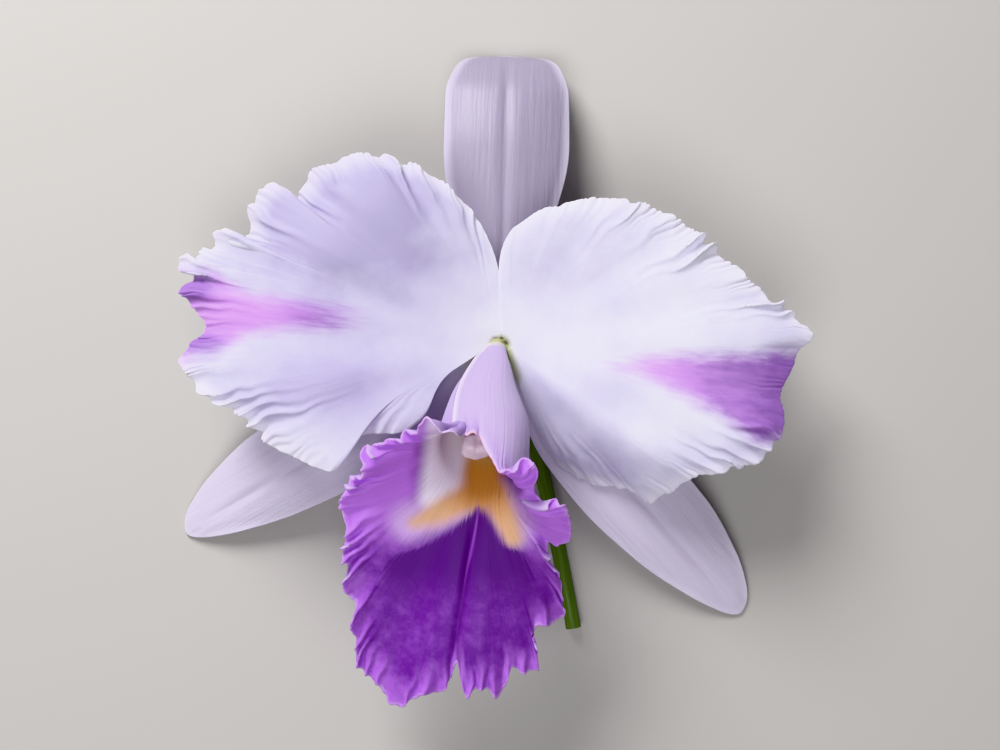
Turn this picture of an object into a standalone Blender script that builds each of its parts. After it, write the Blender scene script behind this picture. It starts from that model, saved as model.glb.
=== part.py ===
"""A cattleya bloom, cut with its ovary and pedicel and laid on its back.

The frame has +Z up, +Y towards the dorsal sepal and +X to the right of someone looking down into the
bloom. The origin lies on the resting surface, under the middle of the bloom. Shapes are worked out in
millimetres around the bloom's heart, where sepals, petals, lip and column meet, and are moved to the
heart's place when their meshes are made.
"""

import math

import bmesh
import bpy
import numpy as np
from mathutils import Vector

MM = 0.001

# The heart of the bloom above the middle of the resting surface.
HEART = (4.09, 4.89, 22.31)

# Thickness of the fleshy blades.
SEPAL_THICKNESS = 1.2
PETAL_THICKNESS = 0.9
LIP_THICKNESS = 0.9

# Where the blades leave the heart: distance from its axis, and height.
SEPAL_START = 3.2
SEPAL_LEVEL = -1.5
PETAL_START = 3.1
PETAL_LEVEL = 0.45

# Length of a blade's midrib, and the half-width that its width profile is a share of.
DORSAL_REACH = 77.5
DORSAL_HALF_WIDTH = 16.4
LEFT_LATERAL_REACH = 98.0
RIGHT_LATERAL_REACH = 96.0
LATERAL_HALF_WIDTH = 13.2

# Directions of the midribs, in degrees from +X towards +Y.
DORSAL_HEADING = 88.5
LEFT_LATERAL_HEADING = 210.7
RIGHT_LATERAL_HEADING = -47.8

# The lip's tube: where it starts, how far its axis leans from straight up there, and how much further
# it leans after the bend's length; the whole lip's lean to the left; and where the tube's edges meet.
TUBE_START = (-1.0, -1.2, 3.9)
TUBE_LEAN = 46.0
TUBE_BEND = 20.0
TUBE_BEND_LENGTH = 45.0
LIP_SWAY = -7.8
LIP_LEFT_EDGE = -163.0
LIP_RIGHT_EDGE = 212.0
LOBE_OVERLAP_RISE = 1.9

# The column inside the tube, and the cap and pollen at its tip.
COLUMN_FOOT = -3.0
COLUMN_END = 30.0
CAP_LENGTH = 4.6
CAP_HALF_WIDTH = 3.3
CAP_FLATNESS = 0.8
CAP_WALL = 0.6
CAP_GAP = 0.35
POLLEN_RADIUS = 1.0
POLLEN_SHAPE = (0.62, 1.0, 1.0)
POLLEN_SPACING = 0.95

# The ovary and pedicel.
OVARY_TOP = 0.35
OVARY_TOP_RADIUS = 2.5
OVARY_RADIUS = 2.9
PEDICEL_RADIUS = 2.0

# Mesh counts.
PETAL_VEINS, PETAL_STEPS = 27, 11
SEPAL_STEPS, SEPAL_VEINS = 17, 9
LIP_VEINS, LIP_STEPS = 43, 19
COLUMN_SIDES, COLUMN_RINGS = 16, 12
PEDICEL_POINTS = 24

# Shapes of the blades. A rim is a list of (heading in degrees, distance from the blade's root).
LEFT_PETAL = {
    "root": (-0.8, 0.8),
    "rim": (
        (91, 22), (97, 31), (104, 38.5), (112, 47.5), (123, 55), (133, 60), (141, 61.5), (147, 66),
        (153, 69), (158, 68.5), (162, 76), (167, 80.5), (172, 77), (177, 72.5), (182, 77), (187, 77.5),
        (194, 69), (203, 63), (212, 56.5), (218, 51.5), (221.5, 42), (225, 27),
    ),
    "fold": None,
}  # fmt: skip
RIGHT_PETAL = {
    "root": (1.3, 0.0),
    "rim": (
        (-76, 17), (-73, 31), (-69, 37.5), (-60, 42), (-52, 47), (-47, 54), (-41.6, 56), (-36, 57.5),
        (-28, 65.8), (-20, 71.5), (-14, 71.5), (-9, 69), (-4, 71.5), (1.5, 76), (7, 70.5), (13, 63.5),
        (21, 59), (29, 54.5), (37, 50), (46, 48), (56, 43.5), (66, 38.6), (75, 35), (83, 30.5), (89, 24),
    ),
    "fold": -34.0,
}  # fmt: skip
FOLD_SLOPE = 33.0
FOLD_SOFTNESS = 6.0
# Height of a petal above its start, against the share of the way to the rim.
PETAL_RISE = ((0, 0), (0.25, 4.6), (0.5, 8.2), (0.75, 9.4), (1, 7.6))

# Share of the half-width against the share of the midrib, for a dorsal and a lateral sepal.
DORSAL_WIDTH = (
    (0, 0.15), (0.12, 0.34), (0.35, 0.76), (0.6, 1), (0.78, 0.97), (0.9, 0.7), (0.97, 0.36), (1, 0.1),
)  # fmt: skip
LATERAL_WIDTH = (
    (0, 0.18), (0.1, 0.45), (0.3, 0.9), (0.48, 1), (0.68, 0.9), (0.85, 0.6), (0.95, 0.28), (1, 0.09),
)  # fmt: skip
# Distance out and height of the midrib, against the share of its length.
DORSAL_OUT = ((0, 0), (0.25, 0.28), (0.5, 0.56), (0.72, 0.8), (0.85, 0.93), (0.93, 0.985), (1, 1))
DORSAL_DROP = ((0, 0), (0.3, -1.2), (0.6, -3.2), (0.78, -6.6), (0.88, -11), (0.95, -15.8), (1, -20.7))
LATERAL_OUT = ((0, 0), (1, 1))
LATERAL_DROP = ((0, 0), (0.3, -3.6), (0.6, -9.2), (0.85, -15.8), (1, -20.2))
# How far a sepal's edges curl back below its midrib, against the share of its length.
SEPAL_CURL = ((0, 0.4), (0.3, 2.4), (0.7, 2.0), (0.9, 0.6), (1, 0))
DORSAL_CURL_SHARE = 1.5

# The lip, vein by vein. A vein's place round the tube is in degrees, 0 on the floor, negative on the left.
TUBE_RADIUS = ((0, 3.2), (4, 4.2), (10, 6.0), (18, 8.6), (26, 10.3), (36, 11.2), (50, 11.6))
TUBE_LENGTH = (
    (-163, 28), (-140, 26), (-110, 26), (-80, 28), (-50, 31), (0, 36),
    (40, 38), (70, 42), (95, 44), (115, 43), (135, 41), (150, 39.5), (165, 38), (180, 37), (200, 33), (212, 30),
)  # fmt: skip
FLARE_LENGTH = (
    (-163, 3), (-148, 9), (-130, 14), (-110, 18), (-90, 23.5), (-75, 26), (-60, 30), (-45, 39), (-30, 53),
    (-15, 57), (-3, 46), (3, 46), (12, 52), (24, 49), (38, 36.5), (50, 26), (60, 20), (80, 12), (100, 10),
    (125, 10), (145, 8), (158, 4), (170, 1), (212, 1),
)  # fmt: skip
FLARE_TURN = (
    (-163, 30), (-148, 74), (-130, 84), (-110, 84), (-90, 84), (-60, 70), (-30, 48), (0, 38),
    (30, 46), (60, 80), (90, 105), (120, 122), (145, 118), (160, 70), (180, 15), (212, 5),
)  # fmt: skip
FLARE_BEND_LENGTH = 5.5
FLARE_STEPS = 40

# The column's centre from the tube's axis, and its half width and half height, against distance along it.
COLUMN_SHIFT = ((-3, -0.6), (0, 0), (10, 2.0), (20, 3.4), (35, 3.2))
COLUMN_WIDTH = ((-3, 1.8), (0, 1.9), (10, 2.4), (20, 3.2), (28, 4.0), (35, 3.2))
COLUMN_DEPTH = ((-3, 1.6), (0, 1.8), (15, 2.2), (28, 2.9), (35, 2.5))

# The middle of the ovary and pedicel, from the heart down and along the resting surface.
PEDICEL_ROUTE = (
    (0, 0, OVARY_TOP), (0, -0.1, -3.0), (0.5, -1.4, -7.5), (2.4, -6.0, -12.6), (5.8, -14.5, -16.6),
    (9.0, -25.0, -19.0), (12.0, -37.0, -20.2), (14.8, -50.0, -20.4), (17.4, -63.0, -20.4), (19.6, -75.0, -20.4),
)  # fmt: skip
PEDICEL_SIZE = (
    (0, OVARY_TOP_RADIUS), (0.05, 2.3), (0.14, OVARY_RADIUS), (0.28, OVARY_RADIUS), (0.46, PEDICEL_RADIUS),
    (1, PEDICEL_RADIUS),
)  # fmt: skip

COLOURS = {
    "sepal_white": ((0.78, 0.74, 0.84), 0.5),
    "petal_white": ((0.84, 0.80, 0.90), 0.5),
    "lip_purple": ((0.25, 0.04, 0.50), 0.45),
    "column_white": ((0.80, 0.72, 0.84), 0.4),
    "cap_ivory": ((0.84, 0.76, 0.80), 0.4),
    "pollen_yellow": ((0.85, 0.66, 0.12), 0.4),
    "pedicel_green": ((0.24, 0.36, 0.06), 0.45),
}


def through(points, x):
    """The height at x of a smooth curve through the points, which doesn't overshoot them."""
    at, height = np.array(points, float).T
    step = np.diff(at)
    slope = np.diff(height) / step
    before, after = slope[:-1], slope[1:]
    same_way = before * after > 0
    middle = np.where(same_way, 2 * before * after / np.where(same_way, before + after, 1), 0)
    tangent = np.concatenate([[slope[0]], middle, [slope[-1]]])
    i = np.clip(np.searchsorted(at, x) - 1, 0, len(step) - 1)
    t = np.clip((x - at[i]) / step[i], 0, 1)
    return (
        (1 + 2 * t) * (1 - t) ** 2 * height[i]
        + t * (1 - t) ** 2 * step[i] * tangent[i]
        + t * t * (3 - 2 * t) * height[i + 1]
        - t * t * (1 - t) * step[i] * tangent[i + 1]
    )


def material(slot):
    """The slot's Principled material, made once."""
    if slot in bpy.data.materials:
        return bpy.data.materials[slot]
    colour, roughness = COLOURS[slot]
    made = bpy.data.materials.new(slot)
    made.use_nodes = True
    shader = made.node_tree.nodes["Principled BSDF"]
    shader.inputs["Base Color"].default_value = (*colour, 1)
    shader.inputs["Roughness"].default_value = roughness
    shader.inputs["Metallic"].default_value = 0
    return made


def node(name, mesh, slot, parent):
    """An object for one piece, smooth, with its material, held by the bloom's empty."""
    mesh.shade_smooth()
    mesh.set_sharp_from_angle(angle=math.radians(50))
    mesh.materials.append(material(slot))
    made = bpy.data.objects.new(name, mesh)
    bpy.context.scene.collection.objects.link(made)
    made.parent = parent
    return made


def blade(name, points, thickness, slot, parent):
    """A thin blade: a grid of points as one skin, in millimetres, thickened evenly to both sides."""
    rows, columns = points.shape[:2]
    mesh = bpy.data.meshes.new(name)
    shape = bmesh.new()
    corners = [shape.verts.new(p) for p in (points * MM).reshape(-1, 3)]
    for i in range(rows - 1):
        for j in range(columns - 1):
            k = i * columns + j
            shape.faces.new((corners[k], corners[k + columns], corners[k + columns + 1], corners[k + 1]))
    bmesh.ops.triangulate(shape, faces=shape.faces[:])
    shape.to_mesh(mesh)
    shape.free()
    made = node(name, mesh, slot, parent)
    skin = made.modifiers.new("thickness", "SOLIDIFY")
    skin.thickness = thickness * MM
    skin.offset = 0
    skin.use_rim = True
    skin.use_even_offset = False
    return made


def lofted(name, rings, slot, parent):
    """A solid through rings of points, in millimetres, with its two ends capped."""
    mesh = bpy.data.meshes.new(name)
    shape = bmesh.new()
    loops = [[shape.verts.new(p) for p in ring * MM] for ring in rings]
    sides = len(loops[0])
    for lower, upper in zip(loops, loops[1:]):
        for i in range(sides):
            j = (i + 1) % sides
            shape.faces.new((lower[i], lower[j], upper[j], upper[i]))
    shape.faces.new(loops[0][::-1])
    shape.faces.new(loops[-1])
    bmesh.ops.recalc_face_normals(shape, faces=shape.faces[:])
    bmesh.ops.triangulate(shape, faces=shape.faces[:])
    shape.to_mesh(mesh)
    shape.free()
    return node(name, mesh, slot, parent)


def petal_points(petal):
    """A petal as a fan of veins from its root: rows are veins, columns go from the claw to the rim."""
    first, last = petal["rim"][0][0], petal["rim"][-1][0]
    heading, share = np.meshgrid(
        np.linspace(first, last, PETAL_VEINS), np.linspace(0, 1, PETAL_STEPS), indexing="ij"
    )
    reach = through(petal["rim"], heading)
    out = PETAL_START + share * (reach - PETAL_START)
    x = petal["root"][0] + out * np.cos(np.radians(heading))
    y = petal["root"][1] + out * np.sin(np.radians(heading))
    z = PETAL_LEVEL + through(PETAL_RISE, share)
    if petal["fold"] is not None:
        past = out * np.sin(np.radians(petal["fold"] - heading)) * (heading < petal["fold"])
        past = np.sqrt(past**2 + FOLD_SOFTNESS**2) - FOLD_SOFTNESS
        z = z - past * math.tan(math.radians(FOLD_SLOPE))
    return np.stack([x, y, z], axis=-1)


def sepal_points(heading, reach, half_width, out, drop, width, curl_share=1.0):
    """A sepal as a strip along its midrib: rows go from its start to its tip, columns from edge to edge."""
    along, across = np.meshgrid(
        np.linspace(0, 1, SEPAL_STEPS) ** 0.85, np.linspace(-1, 1, SEPAL_VEINS), indexing="ij"
    )
    distance = SEPAL_START + through(out, along) * (reach - SEPAL_START)
    side = across * half_width * through(width, along)
    turn = math.radians(heading)
    x = distance * math.cos(turn) - side * math.sin(turn)
    y = distance * math.sin(turn) + side * math.cos(turn)
    z = SEPAL_LEVEL + through(drop, along) - curl_share * through(SEPAL_CURL, along) * across**2
    return np.stack([x, y, z], axis=-1)


def swayed(points):
    """The lip's points, leaning a little to the left as they go down the bloom."""
    down = points[..., 1] - TUBE_START[1]
    moved = points.copy()
    moved[..., 0] -= down * math.tan(math.radians(LIP_SWAY))
    return moved


def tube_frame(along):
    """The middle of the tube at distances along it, its direction there, and the way to the hood."""
    steps = np.linspace(0, 1, 40)[:, None] * np.atleast_1d(along)[None]
    lean = np.radians(TUBE_LEAN + TUBE_BEND * steps / TUBE_BEND_LENGTH)
    way = np.stack([np.zeros_like(lean), -np.sin(lean), np.cos(lean)], axis=-1)
    middle = np.array(TUBE_START) + way.mean(axis=0) * np.atleast_1d(along)[:, None]
    axis = way[-1]
    hood = np.stack([np.zeros_like(axis[:, 0]), axis[:, 2], -axis[:, 1]], axis=-1)
    return middle, axis, hood


def lip_vein(place):
    """One vein of the lip, from the start of the tube to the rim, as close points."""
    turn = math.radians(place)
    sideways = np.array((math.sin(turn), 0, 0))
    along = np.linspace(0, float(through(TUBE_LENGTH, place)), FLARE_STEPS)
    middle, axis, hood = tube_frame(along)
    outwards = sideways - math.cos(turn) * hood
    rise = LOBE_OVERLAP_RISE * float(through(((90, 0), (150, 0.6), (212, 1)), place))
    radius = through(TUBE_RADIUS, along) + rise * np.clip(along / 8, 0, 1)
    path = middle + radius[:, None] * outwards
    gone = np.linspace(0, float(through(FLARE_LENGTH, place)), FLARE_STEPS)[1:]
    fullness = 1 - np.exp(-gone / FLARE_BEND_LENGTH)
    turned = np.radians(float(through(FLARE_TURN, place))) * fullness
    heading = np.cos(turned)[:, None] * axis[-1] + np.sin(turned)[:, None] * outwards[-1]
    return np.concatenate([path, path[-1] + np.cumsum(heading, axis=0) * (gone[1] - gone[0])])


def lip_points():
    """The lip as veins that run along its tube and then flare: rows are veins, columns go to the rim."""
    veins = []
    for place in np.linspace(LIP_LEFT_EDGE, LIP_RIGHT_EDGE, LIP_VEINS):
        path = lip_vein(place)
        length = np.concatenate([[0], np.cumsum(np.linalg.norm(np.diff(path, axis=0), axis=1))])
        wanted = np.linspace(0, length[-1], LIP_STEPS)
        veins.append(np.stack([np.interp(wanted, length, path[:, k]) for k in range(3)], axis=-1))
    return swayed(np.array(veins))


def column_rings():
    """Rings of the column, rounded above and flatter underneath."""
    turns = np.linspace(0, 2 * math.pi, COLUMN_SIDES, endpoint=False)
    along = np.linspace(COLUMN_FOOT, COLUMN_END, COLUMN_RINGS)
    middle, _, hood = tube_frame(along)
    middle = middle + through(COLUMN_SHIFT, along)[:, None] * hood
    across = through(COLUMN_WIDTH, along)[:, None] * np.cos(turns)
    up = through(COLUMN_DEPTH, along)[:, None] * np.sin(turns)
    up = np.where(up < 0, 0.55 * up, up)
    rings = middle[:, None] + across[..., None] * np.array((1, 0, 0)) + up[..., None] * hood[:, None]
    return swayed(rings)


def cap_rings(half_width, length):
    """Rings of one skin of the anther cap, from its brim to its nose."""
    turns = np.linspace(0, 2 * math.pi, COLUMN_SIDES, endpoint=False)
    share = np.array((0, 0.25, 0.5, 0.72, 0.88, 0.97))
    along = COLUMN_END + CAP_GAP + share * length
    middle, _, hood = tube_frame(along)
    middle = middle + through(COLUMN_SHIFT, along)[:, None] * hood
    size = half_width * np.sqrt(1 - share**2.4)
    across = (size[:, None] * np.cos(turns))[..., None] * np.array((1, 0, 0))
    up = (CAP_FLATNESS * size[:, None] * np.sin(turns))[..., None] * hood[:, None]
    return swayed(middle[:, None] + across + up)


def pollen(parent):
    """Four waxy pollen masses side by side under the cap, joined where they touch."""
    middle, _, hood = tube_frame(COLUMN_END + CAP_GAP + 0.42 * CAP_LENGTH)
    middle = middle + float(through(COLUMN_SHIFT, COLUMN_END)) * hood
    middle = Vector(swayed(middle)[0])
    mesh = bpy.data.meshes.new("pollinia")
    shape = bmesh.new()
    bmesh.ops.create_uvsphere(shape, u_segments=12, v_segments=8, radius=POLLEN_RADIUS * MM)
    bmesh.ops.scale(shape, vec=POLLEN_SHAPE, verts=shape.verts[:])
    shape.to_mesh(mesh)
    shape.free()
    masses = []
    for k in range(4):
        mass = node(f"pollen_mass_{k}", mesh.copy(), "pollen_yellow", parent)
        mass.location = (middle + Vector(((k - 1.5) * POLLEN_SPACING, 0, 0))) * MM
        mass.rotation_euler = (math.radians(TUBE_LEAN + TUBE_BEND), 0, 0)
        masses.append(mass)
    whole = masses[0]
    whole.name = "pollinia"
    for k, mass in enumerate(masses[1:]):
        mass.hide_render = True
        mass.display_type = "WIRE"
        join = whole.modifiers.new(f"join_{k}", "BOOLEAN")
        join.operation = "UNION"
        join.object = mass


def pedicel(parent):
    """The ovary and pedicel as one curve, thick at the ovary, with a square cut end."""
    route = np.array(PEDICEL_ROUTE, float)
    gone = np.concatenate([[0], np.cumsum(np.linalg.norm(np.diff(route, axis=0), axis=1))])
    share = np.linspace(0, 1, PEDICEL_POINTS)
    points = np.stack(
        [through(np.stack([gone, route[:, k]], axis=-1), share * gone[-1]) for k in range(3)], axis=-1
    )
    curve = bpy.data.curves.new("ovary_and_pedicel", "CURVE")
    curve.dimensions = "3D"
    curve.bevel_depth = MM
    curve.bevel_resolution = 2
    curve.use_fill_caps = True
    line = curve.splines.new("POLY")
    line.points.add(PEDICEL_POINTS - 1)
    for point, place, size in zip(line.points, points * MM, through(PEDICEL_SIZE, share)):
        point.co = (*place, 1)
        point.radius = size
    curve.materials.append(material("pedicel_green"))
    made = bpy.data.objects.new("ovary_and_pedicel", curve)
    bpy.context.scene.collection.objects.link(made)
    made.parent = parent
    return made


def main():
    for old in list(bpy.data.objects):
        bpy.data.objects.remove(old)
    bloom = bpy.data.objects.new("bloom", None)
    bpy.context.scene.collection.objects.link(bloom)
    bloom.location = Vector(HEART) * MM
    dorsal = sepal_points(
        DORSAL_HEADING, DORSAL_REACH, DORSAL_HALF_WIDTH, DORSAL_OUT, DORSAL_DROP, DORSAL_WIDTH, DORSAL_CURL_SHARE
    )
    blade("dorsal_sepal", dorsal, SEPAL_THICKNESS, "sepal_white", bloom)
    for name, heading, reach in (
        ("left", LEFT_LATERAL_HEADING, LEFT_LATERAL_REACH),
        ("right", RIGHT_LATERAL_HEADING, RIGHT_LATERAL_REACH),
    ):
        points = sepal_points(heading, reach, LATERAL_HALF_WIDTH, LATERAL_OUT, LATERAL_DROP, LATERAL_WIDTH)
        blade(f"lateral_sepal_{name}", points, SEPAL_THICKNESS, "sepal_white", bloom)
    for name, petal in (("left", LEFT_PETAL), ("right", RIGHT_PETAL)):
        blade(f"petal_{name}", petal_points(petal), PETAL_THICKNESS, "petal_white", bloom)
    blade("lip", lip_points(), LIP_THICKNESS, "lip_purple", bloom)
    lofted("column", column_rings(), "column_white", bloom)
    outer = cap_rings(CAP_HALF_WIDTH, CAP_LENGTH)
    inner = cap_rings(CAP_HALF_WIDTH - CAP_WALL, CAP_LENGTH - CAP_WALL)
    lofted("anther_cap", np.concatenate([outer[::-1], inner]), "cap_ivory", bloom)
    pollen(bloom)
    pedicel(bloom)


main()
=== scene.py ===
"""The looks of a cattleya bloom, cut with its pedicel and laid on its back, on a plain floor.

Sheets of points give the sepals, petals and lip. Geometry Nodes ruffle the margins of the petals and
the lip and draw the ovary and pedicel along their path. Lengths in this file are in millimetres
around the bloom's heart, where all its pieces meet, unless a comment says otherwise.
"""

import math

import bpy
import numpy as np
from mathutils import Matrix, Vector


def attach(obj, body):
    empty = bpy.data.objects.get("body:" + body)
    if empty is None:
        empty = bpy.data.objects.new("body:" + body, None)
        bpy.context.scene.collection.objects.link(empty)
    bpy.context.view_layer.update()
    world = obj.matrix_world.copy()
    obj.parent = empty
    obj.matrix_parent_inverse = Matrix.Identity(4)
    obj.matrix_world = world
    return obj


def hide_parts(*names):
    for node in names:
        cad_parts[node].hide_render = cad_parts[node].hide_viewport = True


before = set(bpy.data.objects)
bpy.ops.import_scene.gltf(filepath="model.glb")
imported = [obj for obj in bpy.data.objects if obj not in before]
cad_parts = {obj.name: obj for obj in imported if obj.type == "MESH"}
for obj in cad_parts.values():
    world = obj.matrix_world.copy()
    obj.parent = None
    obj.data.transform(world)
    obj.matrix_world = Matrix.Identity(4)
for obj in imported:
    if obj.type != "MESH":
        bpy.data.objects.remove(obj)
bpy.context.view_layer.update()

bl_info = {
    "name": "Cattleya bloom",
    "version": (1, 0, 0),
    "blender": (4, 5, 0),
    "location": "3D View > Sidebar > Cattleya",
    "description": "Makes the sepals, petals, lip, column and pedicel of a cattleya bloom, and its stage",
    "category": "Add Mesh",
}

MM = 0.001

# The heart of the bloom in the part's frame.
HEART = np.array((4.09, 4.89, 22.31))

# Where the viewer's eye is: above the bloom's face, a little below its heart.
EYE_HEIGHT = 400.0
EYE_DOWN = 7.62

# The camera's sensor, and how wide its view is at the heart.
SENSOR_WIDTH = 36
VIEW_WIDTH = 254

# Where the two lights are from the heart, how wide they are, and half the floor's side, in metres.
KEY_OFFSET = (-0.28, 0.54, 0.48)
KEY_SIZE = 0.42
FILL_OFFSET = (-0.1, -0.32, 0.72)
FILL_SIZE = 0.5
FLOOR_HALF = 1.5

# Millimetres in one unit of the surface coordinates (the UV map).
UV_UNIT = 100

# How far a blade's rounded edge stands out, as a share of its thickness.
EDGE_ROUND = 0.45

# The size at which the skin's cells are drawn, and the size of the drift in a margin's waves.
DRAWN_CELL = 0.35
WANDER_SIZE = 9


def srgb(text):
    """A hex colour as linear red, green, blue and alpha."""
    values = [int(text[i : i + 2], 16) / 255 for i in (1, 3, 5)]
    linear = [v / 12.92 if v <= 0.04045 else ((v + 0.055) / 1.055) ** 2.4 for v in values]
    return (*linear, 1.0)


def length_setting(name, description, default):
    """A length that a user may change, in metres, given here in millimetres."""
    return bpy.props.FloatProperty(
        name=name, description=description, default=default * MM, unit="LENGTH", precision=5, min=0
    )


def colour_setting(name, description, default):
    """A colour that a user may change."""
    return bpy.props.FloatVectorProperty(
        name=name, description=description, default=srgb(default), subtype="COLOR", size=4, min=0, max=1
    )


class BloomShape(bpy.types.PropertyGroup):
    """Sizes of the bloom's pieces that a user may change."""

    sepal_thickness: length_setting("Sepal thickness", "Thickness of the three fleshy sepals", 1.1)
    petal_thickness: length_setting("Petal thickness", "Thickness of the two petals", 0.75)
    lip_thickness: length_setting("Lip thickness", "Thickness of the lip", 0.8)
    petal_ruffle_length: length_setting("Petal ruffle length", "From one ruffle of a petal to the next", 8.5)
    petal_ruffle_height: length_setting("Petal ruffle height", "How high a petal's ruffles rise", 0.95)
    lip_ruffle_length: length_setting("Lip ruffle length", "From one ruffle of the lip to the next", 6.2)
    lip_ruffle_height: length_setting("Lip ruffle height", "How high the lip's ruffles rise", 1.9)
    ruffle_seed: bpy.props.IntProperty(
        name="Ruffle seed", description="Fixed seed of the margins' waves", default=7, min=0
    )


class BloomColours(bpy.types.PropertyGroup):
    """Colours of the bloom that a user may change."""

    petal: colour_setting("Petal", "Ground colour of the petals", "#E8E6F5")
    # petal_shade is the colour of the painted shade laid over the petals in broad clouds.
    petal_shade: colour_setting("Petal shade", "Colour of the petals' fainter clouds", "#B2AACA")
    flame: colour_setting("Flame", "Light colour of the petals' flame", "#DE9FF0")
    flame_deep: colour_setting("Deep flame", "Dark colour of the petals' flame", "#854CA8")
    sepal: colour_setting("Sepal", "Ground colour of the sepals", "#CFC8DC")
    lip: colour_setting("Lip", "Purple of the lip's lobes", "#65208F")
    lip_light: colour_setting("Lip light", "Lilac of the lip's side lobes and margin", "#C680EC")
    lip_deep: colour_setting("Lip deep", "Deep violet below the throat", "#500478")
    throat: colour_setting("Throat", "Yellow of the throat", "#DA9848")
    lip_margin: colour_setting("Lip margin", "Pale line along the lip's edge", "#D2A8E8")
    hood: colour_setting("Hood", "Outside of the lip's tube", "#C0B1D2")
    column: colour_setting("Column", "Waxy flesh of the column", "#E2CBE0")
    pedicel: colour_setting("Pedicel", "Green of the ovary and pedicel", "#5E7A26")


class StageSettings(bpy.types.PropertyGroup):
    """The floor, the lights and the camera."""

    floor: colour_setting("Floor", "Colour of the plain floor", "#B4B1AE")
    key_power: bpy.props.FloatProperty(
        name="Key power", description="Power of the large soft light, in watts", default=8.2, unit="POWER"
    )
    fill_power: bpy.props.FloatProperty(
        name="Fill power", description="Power of the second soft light, in watts", default=3.0, unit="POWER"
    )
    eye_height: length_setting("Eye height", "Camera's height above the bloom's heart", EYE_HEIGHT)


# Curves and sheets of points


def through(points, x):
    """The height at x of a smooth curve through the points, which doesn't overshoot them."""
    at, height = np.array(points, float).T
    step = np.diff(at)
    slope = np.diff(height) / step
    before, after = slope[:-1], slope[1:]
    same_way = before * after > 0
    middle = np.where(same_way, 2 * before * after / np.where(same_way, before + after, 1), 0)
    tangent = np.concatenate([[slope[0]], middle, [slope[-1]]])
    i = np.clip(np.searchsorted(at, x) - 1, 0, len(step) - 1)
    t = np.clip((x - at[i]) / step[i], 0, 1)
    return (
        (1 + 2 * t) * (1 - t) ** 2 * height[i]
        + t * (1 - t) ** 2 * step[i] * tangent[i]
        + t * t * (3 - 2 * t) * height[i + 1]
        - t * t * (1 - t) * step[i] * tangent[i + 1]
    )


def soft_step(low, high, x):
    """0 below low, 1 above high, and a smooth rise between them."""
    t = np.clip((x - low) / (high - low), 0, 1)
    return t * t * (3 - 2 * t)


def lengths_along(path):
    """How far along a path each of its points is."""
    return np.concatenate([[0], np.cumsum(np.linalg.norm(np.diff(path, axis=0), axis=1))])


def evenly_along(path, count):
    """The path again, as count points at equal steps, and their distances along it."""
    gone = lengths_along(path)
    wanted = np.linspace(0, gone[-1], count)
    return np.stack([np.interp(wanted, gone, path[:, k]) for k in range(path.shape[1])], axis=-1), wanted


def rounded(path, rounds):
    """A path with its corners cut a few times, which keeps its two ends."""
    for _ in range(rounds):
        near = 0.75 * path[:-1] + 0.25 * path[1:]
        far = 0.25 * path[:-1] + 0.75 * path[1:]
        path = np.concatenate([path[:1], np.stack([near, far], axis=1).reshape(-1, path.shape[1]), path[-1:]])
    return path


def face_plan(points):
    """Where points seem to be on the bloom's face to the viewer's eye, as (x, y) around the heart."""
    nearer = EYE_HEIGHT / (EYE_HEIGHT - points[..., 2])
    return points[..., 0] * nearer, (points[..., 1] + EYE_DOWN) * nearer - EYE_DOWN


def unit(vectors):
    """The vectors, each at length 1."""
    return vectors / np.maximum(np.linalg.norm(vectors, axis=-1, keepdims=True), 1e-9)


def bump(x, middle, width):
    """1 at the middle, and a smooth fall to 0 on both sides of it."""
    return np.exp(-(((x - middle) / width) ** 2))


def spot(x, y, middle, size):
    """1 at the middle of a soft round spot on the bloom's face, and a smooth fall to 0 round it."""
    return np.exp(-(((x - middle[0]) / size[0]) ** 2 + ((y - middle[1]) / size[1]) ** 2))


def surface(across, along):
    """Surface coordinates, which the vein patterns follow, from two distances in millimetres."""
    return np.stack(np.broadcast_arrays(across, along), axis=-1) / UV_UNIT


def ways_across(points):
    """Unit vectors square to a sheet of points, towards its face."""
    return unit(np.cross(np.gradient(points, axis=1), np.gradient(points, axis=0)))


def capsule(x, y, start, end, radius):
    """Distance outside a rounded bar on the bloom's face; negative inside it."""
    way = np.subtract(end, start)
    along = np.clip(((x - start[0]) * way[0] + (y - start[1]) * way[1]) / (way @ way), 0, 1)
    return np.hypot(x - start[0] - along * way[0], y - start[1] - along * way[1]) - radius


# Nodes and meshes


def set_inputs(tree, node, inputs):
    """Sets a node's inputs, by name or in order. An input is a value, a socket, or a node for its result."""
    for key, value in inputs.items() if isinstance(inputs, dict) else enumerate(inputs):
        if isinstance(value, bpy.types.Node):
            value = next(socket for socket in value.outputs if socket.enabled)
        if isinstance(value, bpy.types.NodeSocket):
            tree.links.new(value, node.inputs[key])
        else:
            node.inputs[key].default_value = value


def add(tree, kind, inputs=(), **settings):
    """Adds one node with its settings and its inputs."""
    node = tree.nodes.new(kind)
    for key, value in settings.items():
        setattr(node, key, value)
    set_inputs(tree, node, inputs)
    return node


def new_group(name, inputs, outputs):
    """A new node group, from its sockets' names and kinds, and the sockets that bring its inputs in."""
    tree = bpy.data.node_groups.new(name, "GeometryNodeTree")
    for way, sockets in (("INPUT", inputs), ("OUTPUT", outputs)):
        for label, kind in sockets.items():
            tree.interface.new_socket(label, in_out=way, socket_type=f"NodeSocket{kind}")
    return tree, add(tree, "NodeGroupInput").outputs


def store(mesh, fields):
    """Keeps a named value or vector at each of a mesh's points."""
    for field, values in fields.items():
        flat = np.array(values, np.float32).ravel()
        single = flat.size == len(mesh.vertices)
        kind, key = ("FLOAT", "value") if single else ("FLOAT_VECTOR", "vector")
        mesh.attributes.new(field, kind, "POINT").data.foreach_set(key, flat)


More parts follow.
